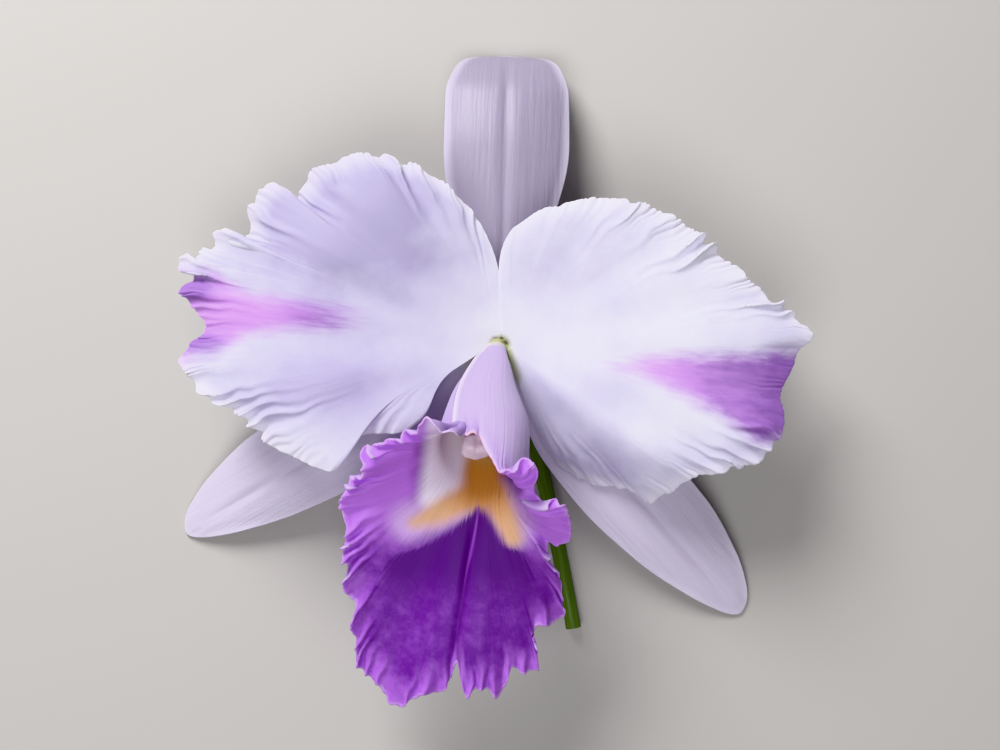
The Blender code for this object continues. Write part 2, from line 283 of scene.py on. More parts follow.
def placed(name, data):
    """A new object with its data, linked to the scene at its origin."""
    made = bpy.data.objects.new(name, data)
    bpy.context.scene.collection.objects.link(made)
    return made


def grid_quads(index):
    """Quads between the neighbours in a grid of point numbers."""
    return np.stack([index[:-1, :-1], index[:-1, 1:], index[1:, 1:], index[1:, :-1]], axis=-1).reshape(-1, 4)


def sheet_object(name, points, fields):
    """A sheet of quads through a grid of points, with a named value or vector at each point."""
    rows, columns = points.shape[:2]
    mesh = bpy.data.meshes.new(name)
    quads = grid_quads(np.arange(rows * columns).reshape(rows, columns))
    mesh.from_pydata((points * MM).reshape(-1, 3), [], quads)
    store(mesh, fields)
    mesh.shade_smooth()
    return placed(name, mesh)


def baked(made):
    """Turns an object's modifiers into its plain mesh."""
    graph = bpy.context.evaluated_depsgraph_get()
    mesh = bpy.data.meshes.new_from_object(
        made.evaluated_get(graph), preserve_all_data_layers=True, depsgraph=graph
    )
    old = made.data
    made.modifiers.clear()
    made.data = mesh
    bpy.data.meshes.remove(old)
    return made


def sheet_points(made, shape):
    """The grid of points of a sheet object after its modifiers."""
    flat = np.zeros(shape[0] * shape[1] * 3, np.float32)
    made.data.vertices.foreach_get("co", flat)
    return flat.reshape(*shape, 3).astype(float) / MM


def blade(name, points, thickness, fields, uv, materials):
    """A closed blade round a sheet of points: a face, a back and a rounded edge, each with its material.

    thickness is in millimetres at each point. fields are kept on the face, the back and the edge.
    """
    rows, columns = points.shape[:2]
    count = rows * columns
    index = np.arange(count).reshape(rows, columns)
    face = grid_quads(index)
    back = face[:, ::-1] + count
    border = np.concatenate([index[0], index[1:, -1], index[-1, -2::-1], index[-2:0:-1, 0]])
    ends = points[0] - points[1], (points[-1] - points[-2])[-2::-1]
    sides = (points[:, -1] - points[:, -2])[1:], (points[:, 0] - points[:, 1])[-2:0:-1]
    outward = unit(np.concatenate([ends[0], sides[0], ends[1], sides[1]]))
    edge = points.reshape(-1, 3)[border] + outward * EDGE_ROUND * thickness.ravel()[border][:, None]
    ring = 2 * count + np.arange(len(border))
    next_ring, next_border = np.roll(ring, -1), np.roll(border, -1)
    upper = np.stack([border, ring, next_ring, next_border], axis=-1)
    lower = np.stack([ring, border + count, next_border + count, next_ring], axis=-1)
    offset = ways_across(points) * (thickness[..., None] / 2)
    corners = np.concatenate([(points + offset).reshape(-1, 3), (points - offset).reshape(-1, 3), edge])
    mesh = bpy.data.meshes.new(name)
    mesh.from_pydata((corners + HEART) * MM, [], np.concatenate([face, back, upper, lower]))
    for slot in materials:
        mesh.materials.append(slot)
    slots = np.repeat((0, 1, len(materials) - 1), (len(face), len(back), 2 * len(border)))
    mesh.polygons.foreach_set("material_index", slots.astype(np.int32))
    flat = {field: values.ravel() for field, values in fields.items()}
    store(mesh, {field: np.concatenate([values, values, values[border]]) for field, values in flat.items()})
    flat_uv = uv.reshape(-1, 2)
    spread = np.concatenate([flat_uv, flat_uv, flat_uv[border]])
    loops = np.zeros(len(mesh.loops), np.int32)
    mesh.loops.foreach_get("vertex_index", loops)
    mesh.uv_layers.new(name="surface").data.foreach_set("uv", spread[loops].astype(np.float32).ravel())
    mesh.shade_smooth()
    mesh.update()
    return placed(name, mesh)


def stands_for(made, node):
    """Makes a piece ride on the bloom in a CAD node's place."""
    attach(made, "root")
    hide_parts(node)


# Ruffled margins, with Geometry Nodes


def wave_tree():
    """A node group: an uneven wave along a margin, and the same wave a quarter turn on."""
    name = "Wave along a margin"
    if name in bpy.data.node_groups:
        return bpy.data.node_groups[name]
    lengths = {"Along": "Float", "Wave length": "Float", "Seed": "Float"}
    tree, given = new_group(name, lengths, {"Wave": "Float", "Quarter turn on": "Float"})
    count = add(tree, "ShaderNodeMath", [given["Along"], given["Wave length"]], operation="DIVIDE")
    place = add(tree, "ShaderNodeMath", [count, 0.37, given["Seed"]], operation="MULTIPLY_ADD")
    later_place = add(tree, "ShaderNodeMath", [place, 31.7], operation="ADD")
    soft = {"Detail": 1.0, "Roughness": 0.5}
    wander = add(tree, "ShaderNodeTexNoise", {"W": place, "Scale": 1.0, **soft}, noise_dimensions="1D")
    swell = add(tree, "ShaderNodeTexNoise", {"W": later_place, "Scale": 1.4, **soft}, noise_dimensions="1D")
    turns = add(tree, "ShaderNodeMath", [wander, 3.0, count], operation="MULTIPLY_ADD")
    phase = add(tree, "ShaderNodeMath", [turns, 2 * math.pi], operation="MULTIPLY")
    size = add(tree, "ShaderNodeMapRange", [swell, 0.32, 0.68, 0.25, 1.4])
    rise = add(tree, "ShaderNodeMath", [phase], operation="SINE")
    later = add(tree, "ShaderNodeMath", [phase], operation="COSINE")
    wave = add(tree, "ShaderNodeMath", [rise, size], operation="MULTIPLY")
    quarter = add(tree, "ShaderNodeMath", [later, size], operation="MULTIPLY")
    add(tree, "NodeGroupOutput", [wave, quarter])
    return tree


# What the node group of the ruffles is told, and the sizes for the petals and the lip in millimetres.
RUFFLE_INPUTS = (
    "Ruffle length", "Ruffle height", "Ruffle reach", "Curl", "Pull in", "Crisp length", "Crisp height",
    "Crisp reach", "Tooth length", "Tooth depth", "Tooth reach", "Wander", "Seed",
)  # fmt: skip
PETAL_MARGIN = {
    "Ruffle reach": 10, "Curl": 0.6, "Pull in": 0.6, "Crisp length": 2.6, "Crisp height": 0.32,
    "Crisp reach": 4.5, "Tooth length": 3.2, "Tooth depth": 0.6, "Tooth reach": 1.2, "Wander": 7,
}  # fmt: skip
LIP_MARGIN = {
    "Ruffle reach": 5, "Curl": 0.6, "Pull in": 0.4, "Crisp length": 4, "Crisp height": 0.5,
    "Crisp reach": 2, "Tooth length": 5, "Tooth depth": 0.7, "Tooth reach": 1.6, "Wander": 7,
}  # fmt: skip


def ruffle_tree():
    """A node group that ruffles a sheet's margin: big waves, small crisps and fine teeth.

    The sheet says at each point how far round the rim it is (rim_arc), how far from the rim
    (rim_distance), the way out along its vein (vein) and how strongly it ruffles (ruffle).
    """
    name = "Ruffled margin"
    if name in bpy.data.node_groups:
        return bpy.data.node_groups[name]
    inputs = {"Geometry": "Geometry", **dict.fromkeys(RUFFLE_INPUTS, "Float"), "Material": "Material"}
    tree, given = new_group(name, inputs, {"Geometry": "Geometry"})
    arc, far, strength = (
        add(tree, "GeometryNodeInputNamedAttribute", {"Name": field}, data_type="FLOAT")
        for field in ("rim_arc", "rim_distance", "ruffle")
    )
    vein = add(tree, "GeometryNodeInputNamedAttribute", {"Name": "vein"}, data_type="FLOAT_VECTOR")
    normal = add(tree, "GeometryNodeInputNormal")
    place = add(tree, "GeometryNodeInputPosition")
    soft = {"Detail": 1.0, "Roughness": 0.5}
    drift = add(tree, "ShaderNodeTexNoise", {"Vector": place, "Scale": 1000 / WANDER_SIZE, **soft})
    centred = add(tree, "ShaderNodeMath", [drift, 0.5], operation="SUBTRACT")
    along = add(tree, "ShaderNodeMath", [centred, given["Wander"], arc], operation="MULTIPLY_ADD")
    waves = []
    for k, kind in enumerate(("Ruffle", "Crisp", "Tooth")):
        seed = add(tree, "ShaderNodeMath", [given["Seed"], 11.3 * k], operation="ADD")
        places = {"Along": along, "Wave length": given[f"{kind} length"], "Seed": seed}
        wave = add(tree, "GeometryNodeGroup", places, node_tree=wave_tree())
        depth = add(tree, "ShaderNodeMath", [far, given[f"{kind} reach"]], operation="DIVIDE")
        deeper = add(tree, "ShaderNodeMath", [depth, 1.6], operation="POWER")
        less = add(tree, "ShaderNodeMath", [deeper, -1.0], operation="MULTIPLY")
        fade = add(tree, "ShaderNodeMath", [less], operation="EXPONENT")
        held = add(tree, "ShaderNodeMath", [fade, strength], operation="MULTIPLY")
        waves.append((wave, held))
    (ruffle, ruffle_fade), (crisp, crisp_fade), (tooth, tooth_fade) = waves
    swell = add(tree, "ShaderNodeMath", [ruffle, ruffle_fade], operation="MULTIPLY")
    high = add(tree, "ShaderNodeMath", [swell, given["Ruffle height"]], operation="MULTIPLY")
    fine = add(tree, "ShaderNodeMath", [crisp, crisp_fade], operation="MULTIPLY")
    lift = add(tree, "ShaderNodeMath", [fine, given["Crisp height"], high], operation="MULTIPLY_ADD")
    later = add(tree, "ShaderNodeMath", [ruffle.outputs[1], ruffle_fade], operation="MULTIPLY")
    slide = add(tree, "ShaderNodeMath", [later, given["Curl"]], operation="MULTIPLY")
    steep = add(tree, "ShaderNodeMath", [swell, swell], operation="MULTIPLY")
    pull = add(tree, "ShaderNodeMath", [steep, given["Pull in"]], operation="MULTIPLY")
    scallop = add(tree, "ShaderNodeMath", [tooth], operation="ABSOLUTE")
    teeth = add(tree, "ShaderNodeMath", [scallop, tooth_fade], operation="MULTIPLY")
    reach_out = add(tree, "ShaderNodeMath", [teeth, given["Tooth depth"]], operation="MULTIPLY")
    outwards = add(tree, "ShaderNodeMath", [reach_out, pull], operation="SUBTRACT")
    side = add(tree, "ShaderNodeVectorMath", [normal, vein], operation="CROSS_PRODUCT")
    moves = [
        add(tree, "ShaderNodeVectorMath", {0: way, "Scale": size}, operation="SCALE")
        for way, size in ((normal, lift), (side, slide), (vein, outwards))
    ]
    both = add(tree, "ShaderNodeVectorMath", moves[:2], operation="ADD")
    total = add(tree, "ShaderNodeVectorMath", [both, moves[2]], operation="ADD")
    moved = add(tree, "GeometryNodeSetPosition", {"Geometry": given["Geometry"], "Offset": total})
    real = add(tree, "GeometryNodeRealizeInstances", {"Geometry": moved})
    painted = add(tree, "GeometryNodeSetMaterial", {"Geometry": real, "Material": given["Material"]})
    add(tree, "NodeGroupOutput", [painted])
    return tree


def ruffle_fields(points, arc, rim_distance, strength):
    """What the ruffles need to know at each point of a sheet of veins, in metres."""
    return {
        "rim_arc": np.broadcast_to(arc[:, None], rim_distance.shape) * MM,
        "rim_distance": rim_distance * MM,
        "ruffle": np.broadcast_to(strength, rim_distance.shape),
        "vein": unit(np.gradient(points, axis=1)),
    }


def with_nodes(made, tree, values):
    """Puts a node group on an object, sets its inputs by their identifiers and bakes it."""
    modifier = made.modifiers.new(tree.name, "NODES")
    modifier.node_group = tree
    for item in tree.interface.items_tree:
        if item.item_type == "SOCKET" and item.in_out == "INPUT" and item.name in values:
            modifier[item.identifier] = values[item.name]
    return baked(made)


def ruffled(points, fields, sizes, length, height, seed, material):
    """The sheet of points with its margin ruffled. Sizes are in millimetres, length and height in metres."""
    made = sheet_object("sheet to ruffle", points, fields)
    values = {name: size * MM for name, size in sizes.items()}
    values |= {"Ruffle length": length, "Ruffle height": height, "Seed": float(seed), "Material": material}
    with_nodes(made, ruffle_tree(), values)
    result = sheet_points(made, points.shape[:2])
    bpy.data.objects.remove(made)
    return result


# Sepals

# Where a sepal starts from the heart and how high it lies there. Then for each sepal: its heading in
# degrees, its reach and its half width; how far out and down its middle is, and how wide its left and
# right halves are, at shares of its length; how much it curls, and how strongly painted shade darkens it.
SEPAL_START = 2.4
SEPAL_LEVEL = -1.5
SEPALS = {
    "dorsal_sepal": {
        "heading": 88.5,
        "reach": 77.5,
        "half_width": 16.4,
        "out": ((0, 0), (0.25, 0.27), (0.5, 0.54), (0.72, 0.775), (0.85, 0.905), (0.93, 0.97), (1, 1)),
        "drop": ((0, 0), (0.3, -1.2), (0.6, -3.2), (0.78, -6.6), (0.88, -11), (0.95, -15.8), (1, -20.4)),
        "left": (
            (0, 0.16), (0.12, 0.34), (0.35, 0.78), (0.6, 0.96), (0.78, 0.96), (0.88, 0.84), (0.94, 0.66),
            (0.98, 0.4), (1, 0.06),
        ),
        "right": (
            (0, 0.16), (0.12, 0.34), (0.35, 0.74), (0.6, 1), (0.78, 0.98), (0.88, 0.86), (0.94, 0.68),
            (0.98, 0.42), (1, 0.06),
        ),
        "curl": 1.5,
        "shade": 1.0,
    },
    "lateral_sepal_left": {
        "heading": 210.7,
        "reach": 97.6,
        "half_width": 13.2,
        "out": ((0, 0), (1, 1)),
        "drop": ((0, 0), (0.08, 0.6), (0.2, 0.7), (0.34, -1.4), (0.6, -7.4), (0.85, -15.2), (1, -20.2)),
        "left": (
            (0, 0.18), (0.1, 0.45), (0.3, 0.84), (0.48, 0.92), (0.68, 0.8), (0.85, 0.54), (0.95, 0.29),
            (0.985, 0.15), (1, 0.04),
        ),
        "right": (
            (0, 0.18), (0.1, 0.45), (0.3, 0.92), (0.48, 1.04), (0.68, 0.98), (0.85, 0.72), (0.95, 0.42),
            (0.985, 0.22), (1, 0.04),
        ),
        "curl": 1.0,
        "shade": 0.0,
    },
    "lateral_sepal_right": {
        "heading": -47.8,
        "reach": 96.0,
        "half_width": 13.2,
        "out": ((0, 0), (1, 1)),
        "drop": ((0, 0), (0.15, -0.8), (0.3, -2.8), (0.6, -8.6), (0.85, -15.6), (1, -20.2)),
        "left": (
            (0, 0.18), (0.1, 0.45), (0.3, 0.9), (0.48, 1.02), (0.68, 0.98), (0.85, 0.74), (0.95, 0.44),
            (0.985, 0.24), (1, 0.04),
        ),
        "right": (
            (0, 0.18), (0.1, 0.45), (0.3, 0.88), (0.48, 0.96), (0.68, 0.84), (0.85, 0.56), (0.95, 0.3),
            (0.985, 0.16), (1, 0.04),
        ),
        "curl": 1.0,
        "shade": 0.0,
    },
}
SEPAL_CURL = ((0, 0.4), (0.3, 2.4), (0.7, 2.0), (0.9, 0.6), (1, 0))
SEPAL_ROWS, SEPAL_COLUMNS = 150, 57


def sepal_sheet(shape):
    """A sepal's sheet of points, its fields and its surface coordinates."""
    rows = np.linspace(0, 1, SEPAL_ROWS) ** 0.85
    columns = np.sin(np.linspace(1, -1, SEPAL_COLUMNS) * math.pi / 2)
    along, across = np.meshgrid(rows, columns, indexing="ij")
    distance = SEPAL_START + through(shape["out"], along) * (shape["reach"] - SEPAL_START)
    share = np.where(across > 0, through(shape["left"], along), through(shape["right"], along))
    side = across * shape["half_width"] * share
    turn = math.radians(shape["heading"])
    x = distance * math.cos(turn) - side * math.sin(turn)
    y = distance * math.sin(turn) + side * math.cos(turn)
    groove = 0.7 * bump(side, 0, 1.1) * soft_step(0, 0.2, along) * (1 - soft_step(0.75, 1, along))
    roll = shape["curl"] * through(SEPAL_CURL, along) * across**2
    wave = 0.5 * np.sin(9 * along + 2.2 * across + shape["heading"]) * across**2 * soft_step(0, 0.3, along)
    z = SEPAL_LEVEL + through(shape["drop"], along) - roll - groove + wave * (1 - soft_step(0.85, 1, along))
    edge = (1 - np.abs(across)) * shape["half_width"] * share
    fields = {
        "rim_distance": np.minimum(edge, (1 - along) * shape["reach"]),
        "root_distance": distance,
        "shade": np.full_like(distance, shape["shade"]),
    }
    return np.stack([x, y, z], axis=-1), fields, surface(side, distance)


# Petals

# Where a petal starts from its root and how high it lies there, its rise at distances from the root,
# and how far its rim droops. Then for each petal: its root, its rim on the bloom's plan, and how strong
# its ruffles are round the rim; how its veins turn aside (from a heading to a heading, by how much);
# the heading past which it folds back; its cup at headings; and how much higher it lies.
PETAL_START = 1.0
PETAL_LEVEL = 0.45
PETAL_LIFT = ((1, 0), (8, 1.6), (18, 4.9), (34, 8.2), (52, 9.3), (80, 9.3))
PETAL_DROOP = 1.7
PETALS = {
    "petal_left": {
        "root": (-0.8, 0.8),
        "rim": (
            (1.2, 1.9), (1, 4.4), (0.8, 8), (0.4, 11), (0, 16), (-1, 21.5), (-3, 26.5), (-6, 31.7),
            (-9.7, 36.2), (-14.2, 39.9), (-18.7, 42.9), (-23.6, 45.1), (-28.6, 46.3), (-33.6, 46.5),
            (-38.1, 45.9), (-41.8, 44.6), (-44.8, 43.2), (-46.8, 41.8), (-47.8, 39.9), (-49.5, 36.7),
            (-51.6, 35.1), (-53.8, 36.7), (-54.8, 38.7), (-57, 39.2), (-59.2, 37.4), (-61.2, 35.2),
            (-62.5, 32.7), (-62.2, 30.5), (-61, 28.5), (-62.2, 26.4), (-63.5, 25.9), (-64.7, 26.4),
            (-66.5, 25.2), (-67.7, 26.4), (-68.9, 28.2), (-71.3, 27.4), (-71.2, 24.7), (-72.4, 23.4),
            (-74.2, 24.1), (-74.9, 22.2), (-76.2, 21), (-77.9, 22.4), (-79.5, 21.3), (-80.6, 19.5),
            (-78.6, 18), (-76.4, 16.9), (-78.2, 15.4), (-80.2, 13.6), (-78, 11.2), (-75.6, 8.2),
            (-73.4, 5.8), (-73.3, 4), (-74.9, 2), (-76.8, 0.2), (-78.7, -2.9), (-80.2, -4.5), (-78.9, -6.4),
            (-77.2, -8.4), (-75.9, -10.6), (-73.2, -12.8), (-71.2, -14.5), (-68.4, -15.7), (-65.2, -16.5),
            (-64, -18.3), (-61.5, -21.3), (-58.7, -23.5), (-55.8, -25.7), (-52.3, -27), (-48.8, -29.3),
            (-44.3, -31.1), (-41.1, -31.5), (-39.4, -28.2), (-38.2, -24.6), (-34.4, -22.2), (-30, -22),
            (-26, -22.2), (-22.6, -21.2), (-19.8, -18.8),
        ),
        "ruffle": (
            (0, 0), (0.06, 0.05), (0.15, 0.5), (0.23, 0.9), (0.42, 1), (0.65, 0.8), (0.78, 1.0),
            (0.83, 0.7), (0.88, 0.25), (0.95, 0.12), (1, 0.1),
        ),
        "swirl": (193, 213.5, 12.5),
        "fold": None,
        "cup": ((70, 0), (85, 2), (104, 4.6), (125, 5.2), (150, 4.4), (176, 1), (196, 2.4), (214, 1)),
        "raised": 0.0,
    },
    "petal_right": {
        "root": (1.3, 0.0),
        "rim": (
            (8.4, -19.8), (10.2, -23.8), (12.9, -28.3), (16.4, -31.8), (20.9, -34.5), (26.4, -36),
            (31.4, -36.5), (34.8, -37.2), (36.8, -39.5), (38.6, -40.5), (40.1, -38.7), (41.6, -37),
            (42.8, -37.5), (44.1, -36.2), (45.8, -34.5), (49, -33), (53, -32.5), (55, -31.5), (59, -30.8),
            (62.7, -29.8), (66, -28), (66.5, -26.5), (68.9, -24), (70.4, -21.1), (70.7, -18.6),
            (69.9, -15.6), (68.9, -12.8), (70.9, -8.4), (72.9, -4.1), (73.9, -1.1), (75.4, -0.2),
            (77.4, 1.6), (76.9, 3.3), (75.4, 4.3), (73.4, 5.8), (72.9, 7.1), (71.4, 8.3), (70.2, 10.1),
            (67.9, 11), (65.7, 11.8), (64, 13.5), (62, 14.7), (60.7, 15.8), (58.5, 19), (56.5, 20.5),
            (54, 23.2), (52.5, 25.7), (49.3, 28), (45.8, 29.5), (41.8, 31.7), (38.6, 33.2), (34.8, 34.4),
            (29.9, 35.6), (24.9, 35.9), (19.9, 35.4), (14.9, 34.4), (10, 33), (5.5, 30.5), (2.5, 28),
            (0.7, 24.7), (0, 21.5), (-0.3, 17.3), (-0.1, 12.3), (0, 8), (0.2, 4.2),
        ),
        "ruffle": (
            (0, 0.1), (0.08, 0.3), (0.2, 0.5), (0.3, 0.9), (0.45, 0.35), (0.52, 0.8), (0.6, 1.2),
            (0.75, 0.9), (0.85, 0.3), (0.93, 0.1), (1, 0),
        ),
        "swirl": (0, 90, 0),
        "fold": -34.0,
        "cup": ((-75, 0), (-34, 1), (-5, 2.6), (25, 3.8), (55, 4.8), (78, 3.4), (92, 1)),
        "raised": 0.4,
    },
}

# The upper and the lower border of each petal's flame, as (x, y) on the bloom's face.
FLAME_BORDERS = {
    "petal_left": (
        (
            (-84, 20.5), (-77, 20), (-72, 19.4), (-68, 16.6), (-62, 13.8), (-53, 12.8), (-42, 10.6),
            (-34, 8.8), (-26, 7.6),
        ),
        (
            (-84, -5.6), (-77, -4.6), (-71, -3.2), (-66, 0.4), (-62, 1.8), (-53, 2.8), (-44, 3), (-36, 4.6),
            (-26, 7),
        ),
    ),
    "petal_right": (
        ((26, -5), (31, -4.2), (40, -1.6), (51, -1), (66, -0.6), (77, 0)),
        ((26, -5.4), (31, -7), (40, -10.4), (48, -15), (56, -19.4), (62, -23.6), (66, -26), (77, -26)),
    ),
}
# How steeply, in degrees, and how softly the right petal folds.
FOLD_SLOPE = 41.0
FOLD_SOFTNESS = 2.4
PETAL_VEINS, PETAL_STEPS = 720, 64


def even_headings(heading):
    """Headings that always grow, close to the given ones, for the veins' straight inner parts."""
    reach = 22
    weight = bump(np.arange(-3 * reach, 3 * reach + 1), 0, reach)
    ends = np.concatenate([np.full(3 * reach, heading[0]), heading, np.full(3 * reach, heading[-1])])
    smooth = np.convolve(ends, weight / weight.sum(), mode="valid")
    least = 0.0004 * np.arange(len(heading))
    return np.maximum.accumulate(smooth - least) + least


def swirl(shape, base, distance):
    """How far a petal's veins turn aside at a distance from the root."""
    start, end, turn = shape["swirl"]
    share = np.clip((base - math.radians(start)) / math.radians(end - start), 0, 1.3)
    late = soft_step(1, 0.82, share)
    return math.radians(turn) * share**1.5 * soft_step(12 + 12 * late, 27 + 25 * late, distance)


def petal_sheet(shape):
    """A petal's sheet of points as a fan of veins, its fields, its coordinates and how far from the root."""
    root = np.array(shape["root"])
    rim, arc = evenly_along(rounded(np.array(shape["rim"], float), 2), PETAL_VEINS)
    out = rim - root
    heading = np.unwrap(np.arctan2(out[:, 1], out[:, 0]))
    reach = np.hypot(out[:, 0], out[:, 1])
    aimed = heading
    for _ in range(80):
        heading = heading + 0.2 * (aimed - heading - swirl(shape, heading, reach))
    inner = even_headings(heading)
    share = 1 - (1 - np.linspace(0, 1, PETAL_STEPS)) ** 1.35
    direction = inner[:, None] + (heading - inner)[:, None] * soft_step(0.55, 1, share)
    distance = PETAL_START + share * (reach[:, None] - PETAL_START)
    turned = direction + swirl(shape, direction, distance)
    x = root[0] + distance * np.cos(turned)
    y = root[1] + distance * np.sin(turned)
    z = PETAL_LEVEL + through(PETAL_LIFT, distance) - PETAL_DROOP * share**5 * reach[:, None] / 70
    z += through(shape["cup"], np.degrees(direction)) * soft_step(14, 52, distance)
    z += 0.9 * np.sin(x / 9 + 0.6 * np.sin(y / 7)) * soft_step(20, 60, distance)
    z += 0.5 * np.sin(direction * 17 + 1) * soft_step(12, 45, distance)
    z += shape["raised"]
    z -= 2.0 * share**9 * soft_step(20, 45, reach[:, None])
    if shape["fold"] is not None:
        fold = math.radians(shape["fold"])
        past = distance * np.sin(fold - direction) * (direction < fold)
        past = np.sqrt(past**2 + FOLD_SOFTNESS**2) - FOLD_SOFTNESS
        z -= past * math.tan(math.radians(FOLD_SLOPE))
    points = np.stack([x, y, z], axis=-1)
    strength = through(shape["ruffle"], arc / arc[-1])[:, None] * soft_step(10, 40, reach)[:, None]
    fields = ruffle_fields(points, arc, (1 - share) * reach[:, None], strength)
    return points, fields, surface(arc[:, None], distance), distance


def flame(points, node):
    """How far inside a petal's coloured flame each point is, in millimetres, and how deep its colour is."""
    x, y = face_plan(points)
    upper, lower = (through(border, x) for border in FLAME_BORDERS[node])
    if node == "petal_left":
        end = (-36 - x) * 0.3
        tone = 1.5 * spot(x, y, (-77.5, 15.5), (6, 5)) - 0.45
        tone = tone + 1.6 * spot(x, y, (-75, -1), (5.5, 4)) + 0.7 * soft_step(-62, -46, x)
    else:
        end = (x - 29) * 0.3
        tone = -0.5 + 0.85 * soft_step(34, 60, x) + 0.25 * soft_step(60, 72, x)
    return np.minimum(np.minimum(upper - y, y - lower), end), tone


def painted_petal_shade(points, node):
    """How strongly painted shade, laid in broad soft clouds, darkens each point of a petal, from 0 to 1."""
    x, y = face_plan(points)
    if node == "petal_left":
        upper = spot(x, y, (-38, 33), (30, 24))
        lower = spot(x, y, (-46, -10), (22, 11))
        return 1.2 * upper + 0.9 * lower + 0.15 * soft_step(-6, -26, x)
    upper = 0.5 * spot(x, y, (22, 25), (18, 11))
    past_fold = -np.degrees(np.arctan2(y, np.maximum(x - 1.3, 0.1)))
    far = np.hypot(x, y)
    folded = 0.55 * soft_step(33, 47, past_fold) * soft_step(6, 16, far) * (1 - soft_step(42, 54, far))
    ridge = 0.45 * spot(x, y, (24, -11), (10, 6))
    outer = 0.45 * soft_step(56, 74, x) + 0.4 * soft_step(-18, -30, y) * soft_step(40, 50, far)
    return upper + folded + ridge + outer


# Lip

# The tube's start, lean and bend in degrees, the sway of the whole lip, and the lip's two edges. Places
# round the tube are in degrees from its underside. The tables give the tube's radius at distances
# along it and, at places round it, its length and the length and the turn of the flare past it.
TUBE_START = (-1.0, -1.2, 3.9)
TUBE_LEAN = 46.0
TUBE_BEND = 20.0
TUBE_BEND_LENGTH = 45.0
LIP_SWAY = -7.8
LIP_LEFT_EDGE = -163.0
LIP_RIGHT_EDGE = 214.0
LOBE_OVERLAP_RISE = 1.3
TUBE_RADIUS = ((0, 2.3), (4, 3.4), (10, 5.7), (18, 8.5), (26, 10.5), (36, 11.2), (50, 11.6))
TUBE_LENGTH = (
    (-163, 24.8), (-150, 25), (-138, 25.6), (-110, 26), (-80, 28), (-50, 31), (0, 36), (40, 38), (70, 42),
    (95, 44), (115, 43), (135, 41), (150, 39.5), (165, 37.6), (174, 35.5), (181, 33), (190, 30.6),
    (200, 30.6), (212, 30), (226, 28),
)  # fmt: skip
FLARE_LENGTH = (
    (-163, 8), (-154, 15), (-146, 17.4), (-138, 15.8), (-130, 14.2), (-122, 13.6), (-116, 15), (-110, 19),
    (-100, 20.8), (-88, 22), (-80, 24.6), (-70, 27.6), (-62, 28.8), (-58, 31), (-54, 33.6), (-50, 35),
    (-46, 38.6), (-41, 39.8), (-38, 44.6), (-34, 48), (-31, 52.5), (-26, 54), (-22, 54.8), (-18, 58),
    (-15, 57.8), (-10, 53.2), (-4, 52), (-1, 49.6), (1.6, 43.5), (4, 47.6), (6, 52.2), (10, 50), (13, 50.6),
    (16, 53), (19, 50), (22, 45.4), (26, 48.6), (30, 48.4), (32, 38.6), (34, 37), (38, 38.4), (41, 38.8),
    (44, 31.8), (46, 30), (48, 21.5), (52, 18), (56, 17), (66, 17.6), (78, 15), (90, 13.4), (100, 12.4),
    (110, 11), (114, 7), (120, 5), (127, 5.6), (135, 8.4), (142, 10.6), (150, 11), (156, 8), (161, 4),
    (167, 1.6), (183, 1.2), (189, 3.4), (197, 3.2), (203, 1.2), (226, 1),
)  # fmt: skip
FLARE_TURN = (
    (-163, 30), (-148, 74), (-130, 84), (-110, 84), (-90, 84), (-60, 70), (-30, 48), (0, 38), (30, 46),
    (60, 80), (90, 105), (118, 124), (135, 140), (148, 136), (160, 90), (172, 30), (183, 40), (190, 112),
    (197, 112), (206, 20), (226, 8),
)  # fmt: skip
LIP_RUFFLE = (
    (-163, 0.25), (-150, 0.6), (-130, 0.8), (-100, 1), (-60, 1), (-30, 0.65), (-4, 0.5), (1.6, 0.2),
    (7, 0.45), (20, 0.5), (40, 0.6), (60, 1), (100, 1), (135, 0.9), (150, 0.5), (165, 0.12), (212, 0.12),
)  # fmt: skip

# The left and the right border of the violet patch and the lip's midline, as (y, x) on the bloom's face.
VIOLET_BORDERS = (
    (
        (-68, -31), (-58, -29.5), (-54.6, -28.4), (-52.6, -25.4), (-51.4, -20.4), (-48.8, -15.4),
        (-45, -10.4), (-40.4, -5.6), (-30, -5),
    ),
    (
        (-68, 9), (-58, 8.4), (-55.8, 7.6), (-52.6, 5.6), (-51.6, 2.8), (-48.3, 0), (-44, -2.6),
        (-40.4, -5), (-30, -5),
    ),
)
LIP_MIDLINE = ((-74, -10.4), (-66, -9.4), (-58.7, -8.4), (-52.3, -7.1), (-40, -5.3), (-30, -5))
FLARE_BEND_LENGTH = 5.5
FLARE_STEPS = 120
LIP_VEINS, LIP_STEPS = 700, 68


def swayed(points):
    """The lip's points, leaning a little to the left as they go down the bloom."""
    down = points[..., 1] - TUBE_START[1]
    moved = points.copy()
    moved[..., 0] -= down * math.tan(math.radians(LIP_SWAY)) + 1.3 * bump(down, -9, 7)
    return moved


def tube_frame(along):
    """The middle of the tube at distances along it, its direction there, and the way to the hood."""
    steps = np.linspace(0, 1, 40)[:, None] * np.atleast_1d(along)[None]
    lean = np.radians(TUBE_LEAN + TUBE_BEND * steps / TUBE_BEND_LENGTH)
    way = np.stack([np.zeros_like(lean), -np.sin(lean), np.cos(lean)], axis=-1)
    middle = np.array(TUBE_START) + way.mean(axis=0) * np.atleast_1d(along)[:, None]
    axis = way[-1]
    hood = np.stack([np.zeros_like(axis[:, 0]), axis[:, 2], -axis[:, 1]], axis=-1)
    return middle, axis, hood


